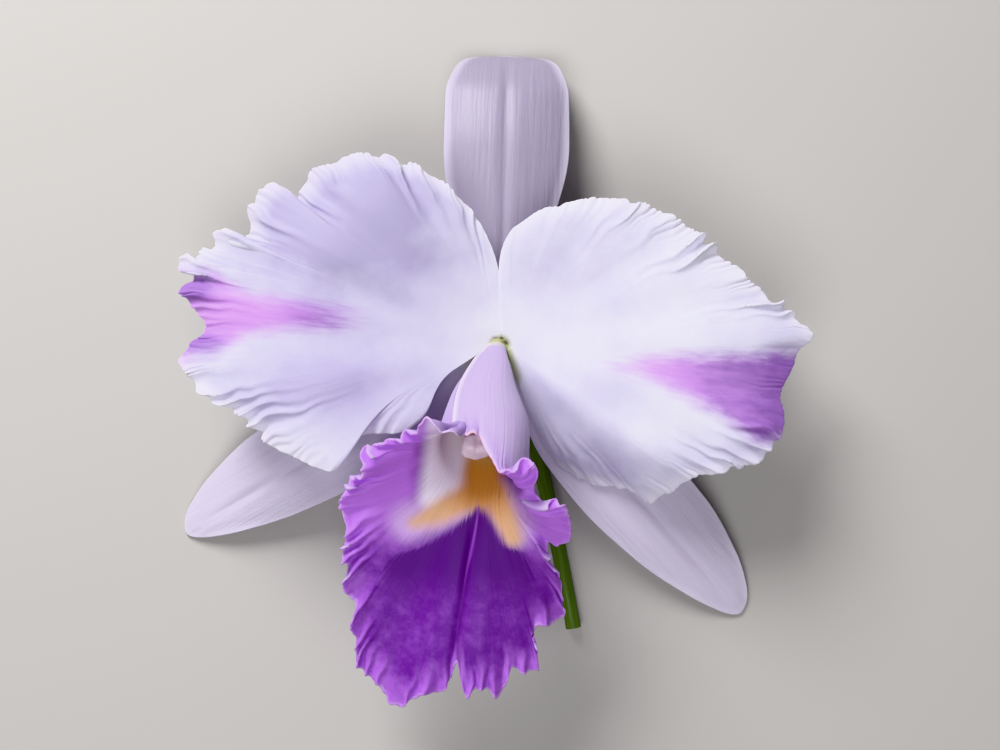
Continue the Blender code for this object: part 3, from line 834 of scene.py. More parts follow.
def lip_vein(place):
    """One vein of the lip, from the start of the tube to the rim, as close points."""
    turn = math.radians(place)
    sideways = np.array((math.sin(turn), 0, 0))
    tube = float(through(TUBE_LENGTH, place))
    along = np.linspace(0, tube, FLARE_STEPS)
    middle, axis, hood = tube_frame(along)
    outwards = sideways - math.cos(turn) * hood
    rise = LOBE_OVERLAP_RISE * float(through(((90, 0), (150, 0.6), (203, 1.1), (214, 1.8)), place))
    radius = through(TUBE_RADIUS, along) + rise * np.clip(along / 8, 0, 1)
    path = middle + radius[:, None] * outwards
    flare = float(through(FLARE_LENGTH, place))
    gone = np.linspace(0, flare, FLARE_STEPS)[1:]
    fullness = 1 - np.exp(-gone / FLARE_BEND_LENGTH)
    turned = np.radians(float(through(FLARE_TURN, place))) * fullness
    heading = np.cos(turned)[:, None] * axis[-1] + np.sin(turned)[:, None] * outwards[-1]
    return np.concatenate([path, path[-1] + np.cumsum(heading, axis=0) * (gone[1] - gone[0])]), tube


def lip_sheet():
    """The lip's sheet of points, its fields, its coordinates, how far past the tube, its veins' places."""
    wide = np.linspace(LIP_LEFT_EDGE, LIP_RIGHT_EDGE, 400)
    rim = swayed(np.array([lip_vein(place)[0][-1] for place in wide]))
    gone = lengths_along(rim)
    spread = gone / gone[-1] + 0.35 * (wide - wide[0]) / (wide[-1] - wide[0])
    places = np.interp(np.linspace(0, spread[-1], LIP_VEINS), spread, wide)
    arc = np.interp(places, wide, gone)
    veins, alongs, tubes = [], [], []
    for place in places:
        path, tube = lip_vein(place)
        length = lengths_along(path)
        wanted = length[-1] * (1 - (1 - np.linspace(0, 1, LIP_STEPS)) ** 1.3)
        veins.append(np.stack([np.interp(wanted, length, path[:, k]) for k in range(3)], axis=-1))
        alongs.append(wanted)
        tubes.append(tube)
    points = swayed(np.array(veins))
    along = np.array(alongs)
    beyond = along - np.array(tubes)[:, None]
    turn = places[:, None]
    crease = bump(turn, 0, 2.4) * soft_step(4, 20, beyond)
    keel = (bump(turn, 13, 9) + bump(turn, -13, 9)) * soft_step(-12, 6, beyond)
    belly = np.sin(turn / 11 + 0.5) * soft_step(10, 40, beyond) * soft_step(-80, -40, turn)
    points = points + ways_across(points) * (0.5 * keel - 1.1 * crease + 0.8 * belly)[..., None]
    strength = through(LIP_RUFFLE, places)[:, None] * soft_step(-6, 6, beyond)
    fields = ruffle_fields(points, arc, along[:, -1:] - along, strength)
    return points, fields, surface(arc[:, None], along), beyond, places


def smooth_min(a, b, width):
    """The smaller of two distances, with a soft turn from one to the other."""
    share = np.clip(0.5 + 0.5 * (b - a) / width, 0, 1)
    return b + (a - b) * share - width * share * (1 - share)


def lip_marks(points, beyond, places):
    """How far inside each of the lip's marks every point is, in millimetres, and how deep its purple is."""
    x, y = face_plan(points)
    upper_stem = capsule(x, y, (-5.4, -22), (-5.2, -32), 4.2)
    lower_stem = capsule(x, y, (-4.4, -33), (-4, -37), 5.6)
    stem = smooth_min(upper_stem, lower_stem, 3)
    left_arm = capsule(x, y, (-7, -38.4), (-22, -45), 4.2) + 2.4 * soft_step(-13, -25, x)
    right_arm = capsule(x, y, (-1, -38), (3.2, -48.8), 4.2) + 1.2 * soft_step(-42, -52, y)
    outer_wall = capsule(x, y, (-14.6, -19), (-16.8, -38), 4.6)
    inner_wall = capsule(x, y, (-9.5, -20), (-12, -35), 4.5)
    halo = np.maximum(-capsule(x, y, (-10, -40), (-23, -44.6), 6.2), -capsule(x, y, (0, -38), (5, -47), 5.2))
    left, right = (through(border, y) for border in VIOLET_BORDERS)
    left_lobe = soft_step(-56, -38, y) * soft_step(-16, -26, x)
    right_lobe = soft_step(-58, -44, y) * soft_step(3, 10, x)
    outer = soft_step(120, 150, np.abs(places))[:, None] * np.ones_like(x)
    return {
        "yellow": -smooth_min(smooth_min(stem, left_arm, 3.5), right_arm, 2.5),
        "arms": soft_step(3, 14, np.hypot(x + 4.6, y + 34)),
        "white": -smooth_min(outer_wall, inner_wall, 3),
        "halo": halo,
        "violet": np.minimum(x - left, right - x) - 5 * soft_step(-41.5, -38.5, y),
        "fading": soft_step(-69, -55, y),
        "midline": -np.abs(x - through(LIP_MIDLINE, y)),
        "line_end": soft_step(-70, -56, y) * soft_step(-39, -44, y),
        # Painted shade: a dark line down the front lobe's crease.
        "painted_crease_shade": soft_step(-54, -62, y),
        "light": np.maximum(np.maximum(left_lobe, right_lobe), outer),
        "deep": -beyond - 4,
    }


# Column and anther cap

# The column's and the cap's ends along the tube, and pairs of a distance along it with the shift
# towards the hood, the half width and the half depth there.
COLUMN_FOOT = -3.0
COLUMN_END = 30.4
COLUMN_SHIFT = ((-3, -0.6), (0, 0), (10, 2.0), (20, 3.4), (35, 3.2))
COLUMN_WIDTH = ((-3, 1.8), (0, 1.9), (10, 2.4), (20, 3.2), (28, 4.0), (30.4, 3.7), (35, 3.2))
COLUMN_DEPTH = ((-3, 1.6), (0, 1.8), (15, 2.2), (28, 2.9), (30.4, 2.7), (35, 2.5))
CAP_START = 29.7
CAP_LENGTH = 4.2
CAP_HALF_WIDTH = 3.8
CAP_FLATNESS = 0.82
CAP_SHIFT = (1.2, 0, 0)
RING_TURNS = np.linspace(0, 2 * math.pi, 73)


def rings_round(along, across, up):
    """Rings of points round the column's middle at distances along the tube."""
    middle, _, hood = tube_frame(along)
    middle = middle + through(COLUMN_SHIFT, along)[:, None] * hood
    sideways = across[..., None] * np.array((1, 0, 0))
    return swayed(middle[:, None] + sideways + up[..., None] * hood[:, None])


def column_sheet():
    """The column's skin: rings with keels along its lower edges, and a hollow under its tip."""
    share = np.linspace(0, 1, 110)
    along = COLUMN_FOOT + share * (COLUMN_END - COLUMN_FOOT)
    across = np.cos(RING_TURNS)[None] * through(COLUMN_WIDTH, along)[:, None]
    up = np.sin(RING_TURNS)[None] * through(COLUMN_DEPTH, along)[:, None]
    below = np.clip(-np.sin(RING_TURNS), 0, 1)[None]
    up = np.where(up < 0, 0.55 * up, up)
    wings = bump(np.abs(np.cos(RING_TURNS)), 0.92, 0.12)[None] * below
    hollow = bump(along, 25.5, 2.6)[:, None] * below**2
    up = up - 0.7 * wings * soft_step(4, 20, along)[:, None] + 1.5 * hollow
    ends = np.sqrt(np.clip(1 - soft_step(0.965, 1.0, share) ** 2, 0.02, 1))[:, None]
    return rings_round(along, across * ends, up * ends), along


def cap_sheet():
    """The anther cap's skin: a helmet with a groove over its crown and two swollen cheeks."""
    share = np.linspace(0, 1, 50)
    along = CAP_START + share * CAP_LENGTH
    width, height = np.cos(RING_TURNS), np.sin(RING_TURNS)
    front = np.clip(1 - share**6, 0.0001, 1) ** 0.45
    size = CAP_HALF_WIDTH * front * (0.93 + 0.07 * soft_step(0, 0.15, share))
    groove = 0.2 * bump(width, 0, 0.17) * (height > 0)
    beak = 0.35 * bump(width, 0, 0.3) * (height < 0)
    crown = groove[None] * soft_step(0.05, 0.4, share)[:, None]
    swell = 1 - crown + beak[None] * soft_step(0.3, 0.9, share)[:, None]
    square = (np.abs(width) ** 3 + np.abs(height) ** 3) ** (-1 / 3)
    across = (width * square)[None] * size[:, None] * swell
    up = CAP_FLATNESS * (height * square)[None] * size[:, None] * swell
    return rings_round(along, across, up) - CAP_SHIFT, along


def closed_skin(name, rings, along, material):
    """A closed skin through rings of points, each ring's last point on its first, with rounded ends.

    along says how far from the heart each ring is, in millimetres.
    """
    rings = rings[:, :-1]
    count, sides = rings.shape[:2]
    index = np.arange(count * sides).reshape(count, sides)
    index = np.concatenate([index, index[:, :1]], axis=1)
    first, last = count * sides, count * sides + 1
    fans = [(first, index[0, k + 1], index[0, k]) for k in range(sides)]
    fans += [(last, index[-1, k], index[-1, k + 1]) for k in range(sides)]
    faces = [tuple(int(v) for v in face) for face in (*grid_quads(index), *fans)]
    corners = np.concatenate([rings.reshape(-1, 3), [rings[0].mean(axis=0), rings[-1].mean(axis=0)]])
    mesh = bpy.data.meshes.new(name)
    mesh.from_pydata((corners + HEART) * MM, [], faces)
    store(mesh, {"root_distance": np.concatenate([np.repeat(along, sides), along[[0, -1]]])})
    mesh.materials.append(material)
    mesh.shade_smooth()
    return placed(name, mesh)


# Ovary and pedicel

# The middle of the ovary and pedicel from the heart to the cut, and its radius at shares of the way.
PEDICEL_ROUTE = (
    (0, 0, 0.35), (0, -0.1, -3.0), (0.5, -1.4, -7.5), (2.4, -6.0, -12.6), (5.8, -14.5, -16.6),
    (9.0, -25.0, -19.0), (12.0, -37.0, -20.1), (14.8, -50.0, -20.2), (17.4, -63.0, -20.2),
    (19.6, -75.0, -20.2),
)  # fmt: skip
PEDICEL_SIZE = ((0, 2.5), (0.05, 2.3), (0.14, 2.9), (0.28, 2.9), (0.46, 2.0), (0.97, 1.98), (1, 2.05))
PEDICEL_POINTS = 150


def stalk_tree():
    """A node group that draws a stalk along a path of points, with ribs where it swells."""
    name = "Stalk along a path"
    if name in bpy.data.node_groups:
        return bpy.data.node_groups[name]
    inputs = {"Geometry": "Geometry", "Ribs": "Float", "Rib depth": "Float"}
    inputs |= {"Skin": "Material", "Cut": "Material"}
    tree, given = new_group(name, inputs, {"Geometry": "Geometry"})
    curve = add(tree, "GeometryNodeMeshToCurve", {"Mesh": given["Geometry"]})
    thick = add(tree, "GeometryNodeInputNamedAttribute", {"Name": "thickness"}, data_type="FLOAT")
    ribbed = add(tree, "GeometryNodeInputNamedAttribute", {"Name": "ribbed"}, data_type="FLOAT")
    place = add(tree, "GeometryNodeSplineParameter").outputs["Length"]
    along = {"Geometry": curve, "Name": "along", "Value": place}
    path = add(tree, "GeometryNodeStoreNamedAttribute", along, data_type="FLOAT", domain="POINT")
    circle = add(tree, "GeometryNodeCurvePrimitiveCircle", {"Resolution": 48, "Radius": 1.0})
    turn = add(tree, "GeometryNodeSplineParameter").outputs["Factor"]
    angle = add(tree, "ShaderNodeMath", [turn, 2 * math.pi], operation="MULTIPLY")
    around = {"Geometry": circle, "Name": "turn", "Value": angle}
    ring = add(tree, "GeometryNodeStoreNamedAttribute", around, data_type="FLOAT", domain="POINT")
    shape = {"Curve": path, "Profile Curve": ring, "Scale": thick, "Fill Caps": True}
    tube = add(tree, "GeometryNodeCurveToMesh", shape)
    turned = add(tree, "GeometryNodeInputNamedAttribute", {"Name": "turn"}, data_type="FLOAT")
    many = add(tree, "ShaderNodeMath", [turned, given["Ribs"]], operation="MULTIPLY")
    wave = add(tree, "ShaderNodeMath", [many], operation="COSINE")
    depth = add(tree, "ShaderNodeMath", [wave, given["Rib depth"]], operation="MULTIPLY")
    held = add(tree, "ShaderNodeMath", [depth, ribbed], operation="MULTIPLY")
    normal = add(tree, "GeometryNodeInputNormal")
    push = add(tree, "ShaderNodeVectorMath", {0: normal, "Scale": held}, operation="SCALE")
    moved = add(tree, "GeometryNodeSetPosition", {"Geometry": tube, "Offset": push})
    real = add(tree, "GeometryNodeRealizeInstances", {"Geometry": moved})
    skinned = add(tree, "GeometryNodeSetMaterial", {"Geometry": real, "Material": given["Skin"]})
    sides = add(tree, "GeometryNodeInputMeshFaceNeighbors").outputs["Vertex Count"]
    many_sided = add(tree, "FunctionNodeCompare", {2: sides, 3: 4}, data_type="INT", operation="GREATER_THAN")
    ends = {"Geometry": skinned, "Selection": many_sided, "Material": given["Cut"]}
    add(tree, "NodeGroupOutput", [add(tree, "GeometryNodeSetMaterial", ends)])
    return tree


# Materials


def new_material(name):
    """An empty material with its tree, its output and a Principled shader."""
    made = bpy.data.materials.new(name)
    made.use_nodes = True
    tree = made.node_tree
    tree.nodes.clear()
    shader = add(tree, "ShaderNodeBsdfPrincipled")
    add(tree, "ShaderNodeOutputMaterial", {"Surface": shader})
    return made, tree, shader


def along_veins(tree, across, along, detail, roughness):
    """Streaks that follow a piece's veins, of a width and a length in millimetres."""
    place = add(tree, "ShaderNodeUVMap", uv_map="surface")
    size = (UV_UNIT / across, UV_UNIT / along, 1)
    scaled = add(tree, "ShaderNodeMapping", {"Vector": place, "Scale": size})
    look = {"Vector": scaled, "Scale": 1.0, "Detail": detail, "Roughness": roughness}
    return add(tree, "ShaderNodeTexNoise", look)


def patches_of(tree, size, detail, roughness):
    """Uneven patches of a size in millimetres, anywhere on a piece."""
    place = add(tree, "ShaderNodeTexCoord").outputs["Object"]
    look = {"Vector": place, "Scale": 1000 / size, "Detail": detail, "Roughness": roughness}
    return add(tree, "ShaderNodeTexNoise", look)


def tinted(tree, base, colour, field, low, high, most=1.0, uneven=None, spread=0.0, held=None):
    """A colour laid over a base as a field goes from low to high, at its most this strong.

    field is the name of a value that the piece keeps at its points, which changes the colour smoothly,
    or a pattern, which changes it evenly. uneven is a pattern that shifts the field by up to spread.
    held names a field that the strength is multiplied by.
    """
    named = isinstance(field, str)
    place = add(tree, "ShaderNodeAttribute", attribute_name=field).outputs["Fac"] if named else field
    if uneven:
        place = add(tree, "ShaderNodeMath", [uneven, spread, place], operation="MULTIPLY_ADD")
    change = "SMOOTHSTEP" if named else "LINEAR"
    share = add(tree, "ShaderNodeMapRange", [place, low, high, 0.0, most], interpolation_type=change)
    if held:
        limit = add(tree, "ShaderNodeAttribute", attribute_name=held).outputs["Fac"]
        share = add(tree, "ShaderNodeMath", [share, limit], operation="MULTIPLY")
    return add(tree, "ShaderNodeMix", {0: share, 6: base, 7: colour}, data_type="RGBA")


def tissue_bump(tree, shader, vein_width, vein_height, cell_height, calm_root=None):
    """Fine veins that run out to the rim, over the pearly cells that make a petal glisten.

    Real cells are about 0.05 mm. They are drawn at 0.35 mm, so that they show. calm_root is how far
    from the root the veins begin and are full, in millimetres.
    """
    veins = along_veins(tree, vein_width, 30, 3.0, 0.6)
    height = veins
    if calm_root:
        far = add(tree, "ShaderNodeAttribute", attribute_name="root_distance").outputs["Fac"]
        share = add(tree, "ShaderNodeMapRange", [far, *calm_root], interpolation_type="SMOOTHSTEP")
        height = add(tree, "ShaderNodeMath", [height, share], operation="MULTIPLY")
    low = add(tree, "ShaderNodeBump", {"Strength": 1.0, "Distance": vein_height * MM, "Height": height})
    place = add(tree, "ShaderNodeTexCoord").outputs["Object"]
    look = {"Vector": place, "Scale": 1000 / DRAWN_CELL, "Smoothness": 0.6}
    cells = add(tree, "ShaderNodeTexVoronoi", look, feature="SMOOTH_F1")
    pearls = {"Strength": 1.0, "Distance": cell_height * MM, "Height": cells, "Normal": low}
    set_inputs(tree, shader, {"Normal": add(tree, "ShaderNodeBump", pearls)})
    return veins


def set_skin(tree, shader, colour, roughness, ior, glow, glow_colour, glow_depth):
    """Gives a skin its colour and gloss, and how much light spreads in it and how deep, in millimetres."""
    set_inputs(tree, shader, {
        "Base Color": colour, "Roughness": roughness, "IOR": ior, "Subsurface Weight": glow,
        "Subsurface Radius": glow_colour, "Subsurface Scale": glow_depth * MM,
    })


def petal_material(name, colours, face):
    """Petal skin: white, pearly and a little translucent, with a lilac flame that follows the veins, broad
    clouds of painted shade, and an olive claw that is partly painted shade.
    """
    made, tree, shader = new_material(name)
    tissue_bump(tree, shader, 2.2, 0.1, 0.012, (18, 50))
    streaks = along_veins(tree, 2.6, 9, 5.0, 0.66)
    patches = patches_of(tree, 18, 5.0, 0.6)
    # Painted shade: broad clouds darken the petal towards petal_shade.
    tinge_and_shade = add(tree, "ShaderNodeAttribute", attribute_name="tinge_and_shade").outputs["Fac"]
    broken = add(tree, "ShaderNodeMath", [patches, 1.3, tinge_and_shade], operation="MULTIPLY_ADD")
    skin = tinted(tree, colours.petal, colours.petal_shade, broken, 0.55, 1.6)
    skin = tinted(tree, skin, srgb("#EEEAFA"), "rim_distance", 6.0, 0.0, 0.7)
    # Olive at the claw: partly the petal's green base, partly painted shade.
    skin = tinted(tree, skin, srgb("#979C58"), "claw_green_and_shade", -2.6, 0.0, 0.85)
    tone = add(tree, "ShaderNodeAttribute", attribute_name="flame_tone").outputs["Fac"]
    mottled = add(tree, "ShaderNodeMath", [streaks, 0.9, tone], operation="MULTIPLY_ADD", use_clamp=True)
    shades = {0: mottled, 6: colours.flame, 7: colours.flame_deep}
    flame_colour = add(tree, "ShaderNodeMix", shades, data_type="RGBA")
    skin = tinted(tree, skin, flame_colour, "flame_depth", 1.2, 7.6, 0.9 if face else 0.4, streaks, 6.0)
    set_skin(tree, shader, skin, 0.5, 1.4, 0.4, (1.0, 0.88, 1.0), 1.0)
    set_inputs(tree, shader, {"Sheen Weight": 0.1, "Sheen Roughness": 0.4})
    return made


def sepal_material(name, colours):
    """Sepal skin: smooth lavender-white flesh, greyer along its veins and paler at its edges, with painted
    shade over the dorsal sepal.
    """
    made, tree, shader = new_material(name)
    veins = tissue_bump(tree, shader, 1.6, 0.25, 0.015)
    skin = tinted(tree, colours.sepal, srgb("#C6BCD2"), veins, 0.35, 0.7, 0.55)
    # Painted shade: darkens the whole dorsal sepal towards grey-lilac.
    shade = add(tree, "ShaderNodeAttribute", attribute_name="shade").outputs["Fac"]
    skin = add(tree, "ShaderNodeMix", {0: shade, 6: skin, 7: srgb("#958DA2")}, data_type="RGBA")
    skin = tinted(tree, skin, srgb("#DAD4E6"), "rim_distance", 3.0, 0.0, 0.5)
    skin = tinted(tree, skin, srgb("#B9C68C"), "root_distance", 14.0, 3.0, 0.8)
    set_skin(tree, shader, skin, 0.42, 1.4, 0.2, (1.0, 0.8, 0.9), 1.2)
    return made


def lip_face_material(colours):
    """Lip's inner skin: velvety purple, violet and yellow in streaks that follow the veins, with painted
    shade down its crease.
    """
    made, tree, shader = new_material("velvety lip petal")
    veins = tissue_bump(tree, shader, 1.7, 0.08, 0.022)
    streaks = along_veins(tree, 1.5, 14, 4.0, 0.65)
    patches = patches_of(tree, 4, 6.0, 0.7)
    rim = add(tree, "ShaderNodeAttribute", attribute_name="rim_distance").outputs["Fac"]
    light = add(tree, "ShaderNodeAttribute", attribute_name="light").outputs["Fac"]
    paler = add(tree, "ShaderNodeMapRange", [rim, 10.0, 0.5, 0.0, 0.55], interpolation_type="SMOOTHSTEP")
    lighter = add(tree, "ShaderNodeMath", [light, 1.1, paler], operation="MULTIPLY_ADD")
    dappled = add(tree, "ShaderNodeMath", [patches, 0.75, lighter], operation="MULTIPLY_ADD")
    lilac = add(tree, "ShaderNodeMath", [dappled, 0.31], operation="SUBTRACT", use_clamp=True)
    skin = add(tree, "ShaderNodeMix", {0: lilac, 6: colours.lip, 7: colours.lip_light}, data_type="RGBA")
    arms = add(tree, "ShaderNodeAttribute", attribute_name="arms").outputs["Fac"]
    apricot = add(tree, "ShaderNodeMix", {0: arms, 6: colours.throat, 7: srgb("#DFB184")}, data_type="RGBA")
    for mark, spread, low, high, most, held, colour in (
        ("halo", 2.0, -0.5, 5.5, 0.85, None, srgb("#D8B4EA")),
        ("white", 0.6, -1.1, 3.4, 0.94, None, srgb("#FAEEFF")),
        ("yellow", 1.4, -0.6, 3.8, 0.96, None, apricot),
        ("deep", 0.0, 0.0, 14.0, 0.9, None, srgb("#C9C494")),
        ("violet", 9.0, 3.2, 6.8, 0.97, "fading", colours.lip_deep),
        ("midline", 0.5, -0.35, 0.3, 0.7, "line_end", srgb("#A55FC8")),
        # Painted shade in the front lobe's crease.
        ("midline", 0.5, -0.9, 0.2, 0.5, "painted_crease_shade", srgb("#3A0458")),
    ):
        skin = tinted(tree, skin, colour, mark, low, high, most, streaks, spread, held)
    shade = add(tree, "ShaderNodeMapRange", [veins, 0.3, 0.75, 1.05, 0.91])
    skin = add(tree, "ShaderNodeMix", {0: 1.0, 6: skin, 7: shade}, data_type="RGBA", blend_type="MULTIPLY")
    skin = tinted(tree, skin, colours.lip_margin, "rim_distance", 2.9, 1.7, 0.75, patches, 4.0)
    set_skin(tree, shader, skin, 0.52, 1.4, 0.12, (1.0, 0.5, 1.0), 0.8)
    velvet = {"Sheen Weight": 0.25, "Sheen Roughness": 0.35, "Sheen Tint": srgb("#E0B8FF")}
    set_inputs(tree, shader, velvet)
    return made


def lip_back_material(colours):
    """Lip's outer skin: pale lavender over the tube, flushed with lilac towards the lobes, with a painted
    shadow and a painted highlight at the seam where the lobes overlap.
    """
    made, tree, shader = new_material("smooth back of lip petal")
    veins = tissue_bump(tree, shader, 1.8, 0.2, 0.012)
    depth = add(tree, "ShaderNodeAttribute", attribute_name="deep").outputs["Fac"]
    flush = add(tree, "ShaderNodeMapRange", [depth, 0.0, -22.0, 0.0, 0.85], interpolation_type="SMOOTHSTEP")
    streaked = add(tree, "ShaderNodeMath", [veins, 0.25, flush], operation="MULTIPLY_ADD", use_clamp=True)
    skin = add(tree, "ShaderNodeMix", {0: streaked, 6: colours.hood, 7: srgb("#A56CCB")}, data_type="RGBA")
    for field, low, high, most, colour in (
        ("rim_distance", 2.5, 0.0, 0.5, srgb("#EFE4F8")),
        # Painted shadow on the lower lobe beside the overlap, and a painted highlight on the covering edge.
        ("painted_seam_shadow", 0.0, 1.0, 0.6, srgb("#9A8BB6")),
        ("painted_seam_highlight", 0.0, 1.0, 0.7, srgb("#F0E8F8")),
        ("from_root", 3.0, 0.5, 0.6, srgb("#BCC07C")),
    ):
        skin = tinted(tree, skin, colour, field, low, high, most)
    set_skin(tree, shader, skin, 0.45, 1.4, 0.2, (1.0, 0.7, 0.9), 1.0)
    return made


def waxy_material(name, colour, tinge, scale, roughness, greens=0):
    """Waxy flesh: smooth, glossy where it faces the light, with a faint cloudy tinge.

    greens is how strongly it turns olive green at the heart, from 0 to 1.
    """
    made, tree, shader = new_material(name)
    tinge_and_shade = patches_of(tree, scale, 3.0, 0.55)
    skin = tinted(tree, colour, tinge, tinge_and_shade, 0.35, 0.65)
    skin = tinted(tree, skin, srgb("#9A9C5C"), "root_distance", 7.0, 1.0, 0.9 * greens)
    waves = add(tree, "ShaderNodeBump", {"Strength": 0.6, "Distance": 0.03 * MM, "Height": tinge_and_shade})
    set_inputs(tree, shader, {"Normal": waves})
    set_skin(tree, shader, skin, roughness, 1.44, 0.25, (1.0, 0.7, 0.6), 1.0)
    return made


def stalk_material(colours):
    """Green stalk skin: satin, with paler and darker lengthwise fibres."""
    made, tree, shader = new_material("green stalk skin")
    turn = add(tree, "ShaderNodeAttribute", attribute_name="turn").outputs["Fac"]
    along = add(tree, "ShaderNodeAttribute", attribute_name="along").outputs["Fac"]
    across = add(tree, "ShaderNodeMath", [turn], operation="SINE")
    up = add(tree, "ShaderNodeMath", [turn], operation="COSINE")
    place = add(tree, "ShaderNodeCombineXYZ", [across, up, along])
    scaled = add(tree, "ShaderNodeMapping", {"Vector": place, "Scale": (4.0, 4.0, 1000 / 14)})
    look = {"Vector": scaled, "Scale": 1.0, "Detail": 4.0, "Roughness": 0.6}
    fibres = add(tree, "ShaderNodeTexNoise", look)
    skin = tinted(tree, colours.pedicel, srgb("#3F5A18"), fibres, 0.3, 0.7)
    skin = tinted(tree, skin, srgb("#B4BE6C"), "along", 0.012, 0.0, 0.9)
    ribs = add(tree, "ShaderNodeBump", {"Strength": 0.8, "Distance": 0.12 * MM, "Height": fibres})
    set_inputs(tree, shader, {"Normal": ribs})
    set_skin(tree, shader, skin, 0.4, 1.45, 0.1, (0.6, 1.0, 0.3), 0.8)
    return made


# Operators


class CATTLEYA_OT_sepals(bpy.types.Operator):
    """Make the dorsal sepal and the two lateral sepals"""

    bl_idname = "cattleya.sepals"
    bl_label = "Sepals"

    def execute(self, context):
        shape, colours = context.scene.bloom_shape, context.scene.bloom_colours
        skin = sepal_material("smooth sepal skin", colours)
        for node, form in SEPALS.items():
            points, fields, uv = sepal_sheet(form)
            taper = 0.55 + 0.45 * soft_step(0, 4, fields["rim_distance"])
            thickness = shape.sepal_thickness / MM * taper
            made = blade(f"{node}_flesh", points, thickness, fields, uv, [skin, skin])
            stands_for(made, node)
        return {"FINISHED"}


class CATTLEYA_OT_petals(bpy.types.Operator):
    """Make the two broad petals with their ruffled margins"""

    bl_idname = "cattleya.petals"
    bl_label = "Petals"

    def execute(self, context):
        shape, colours = context.scene.bloom_shape, context.scene.bloom_colours
        face = petal_material("pearly petal face", colours, True)
        back = petal_material("petal back", colours, False)
        length, height = shape.petal_ruffle_length, shape.petal_ruffle_height
        for k, (node, form) in enumerate(PETALS.items()):
            points, fields, uv, distance = petal_sheet(form)
            points = ruffled(points, fields, PETAL_MARGIN, length, height, shape.ruffle_seed + 5 * k, face)
            rim_distance = fields["rim_distance"] / MM
            inside, tone = flame(points, node)
            kept = {
                "rim_distance": rim_distance,
                "root_distance": distance,
                # Where the claw's olive lies: partly green base, partly painted shade.
                "claw_green_and_shade": -capsule(points[..., 0], points[..., 1], (0.4, 0.2), (3.0, -8.2), 0.9),
                "flame_depth": inside,
                "flame_tone": tone,
                # Painted shade in broad soft clouds, darker below the right petal's fold.
                "tinge_and_shade": painted_petal_shade(points, node),
            }
            thickness = shape.petal_thickness / MM * (0.6 + 0.4 * soft_step(0, 5, rim_distance))
            made = blade(f"{node}_blade", points, thickness, kept, uv, [face, back])
            stands_for(made, node)
        return {"FINISHED"}


class CATTLEYA_OT_lip(bpy.types.Operator):
    """Make the lip: its tube, side lobes and frilled front lobe"""

    bl_idname = "cattleya.lip"
    bl_label = "Lip"

    def execute(self, context):
        shape, colours = context.scene.bloom_shape, context.scene.bloom_colours
        face = lip_face_material(colours)
        back = lip_back_material(colours)
        length, height = shape.lip_ruffle_length, shape.lip_ruffle_height
        calm, fields, uv, beyond, places = lip_sheet()
        points = ruffled(calm, fields, LIP_MARGIN, length, height, shape.ruffle_seed + 40, face)
        rim_distance = fields["rim_distance"] / MM
        radius = TUBE_RADIUS[-1][1]
        turned = np.broadcast_to(LIP_RIGHT_EDGE - places[:, None], rim_distance.shape)
        from_edge = math.radians(1) * radius * turned
        before_edge = np.clip(2 * math.pi * radius - from_edge, 0, None)
        kept = {
            "rim_distance": rim_distance,
            "from_root": uv[..., 1] * UV_UNIT,
            # Painted highlight along the covering lobe's edge, and painted shadow on the lobe beneath it,
            # where the lobes overlap.
            "painted_seam_highlight": bump(from_edge, 0, 0.8),
            "painted_seam_shadow": np.exp(-before_edge / 1.3) * (places[:, None] < -90),
            **lip_marks(calm, beyond, places),
        }
        thickness = shape.lip_thickness / MM * (0.6 + 0.4 * soft_step(0, 4, rim_distance))
        made = blade("lip_petal", points, thickness, kept, uv, [face, back, face])
        stands_for(made, "lip")
        return {"FINISHED"}


class CATTLEYA_OT_column(bpy.types.Operator):
    """Make the column and its anther cap, and give the pollen masses their wax"""

    bl_idname = "cattleya.column"
    bl_label = "Column and cap"

    def execute(self, context):
        colours = context.scene.bloom_colours
        flesh = waxy_material("waxy column flesh", colours.column, srgb("#D8B4D8"), 5.0, 0.32, 1)
        stands_for(closed_skin("column_flesh", *column_sheet(), flesh), "column")
        ivory = waxy_material("waxy anther cap", srgb("#F4E6F0"), srgb("#E8CEE0"), 2.2, 0.3)
        stands_for(closed_skin("anther_cap_skin", *cap_sheet(), ivory), "anther_cap")
        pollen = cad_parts["pollinia"]
        wax = waxy_material("waxy pollen mass", srgb("#E8C23C"), srgb("#D9A21E"), 0.8, 0.35)
        for slot in pollen.material_slots:
            slot.material = wax
        return {"FINISHED"}


class CATTLEYA_OT_pedicel(bpy.types.Operator):
    """Make the ribbed ovary and the bent pedicel with its cut end"""

    bl_idname = "cattleya.pedicel"
    bl_label = "Ovary and pedicel"

    def execute(self, context):
        skin = stalk_material(context.scene.bloom_colours)
        cut = waxy_material("freshly cut stalk", srgb("#C9D29A"), srgb("#9DAF62"), 0.7, 0.5)
        route = np.array(PEDICEL_ROUTE, float)
        gone = lengths_along(route)
        share = np.linspace(0, 1, PEDICEL_POINTS)
        curves = [np.stack([gone, route[:, k]], axis=-1) for k in range(3)]
        path = np.stack([through(curve, share * gone[-1]) for curve in curves], axis=-1)
        mesh = bpy.data.meshes.new("ovary_and_pedicel_stalk")
        mesh.from_pydata((path + HEART) * MM, [(k, k + 1) for k in range(PEDICEL_POINTS - 1)], [])
        ribs = soft_step(0.02, 0.1, share) * (1 - soft_step(0.3, 0.5, share))
        store(mesh, {"thickness": through(PEDICEL_SIZE, share) * MM, "ribbed": ribs})
        made = placed("ovary_and_pedicel_stalk", mesh)
        with_nodes(made, stalk_tree(), {"Ribs": 6.0, "Rib depth": 0.22 * MM, "Skin": skin, "Cut": cut})
        stands_for(made, "ovary_and_pedicel")
        return {"FINISHED"}


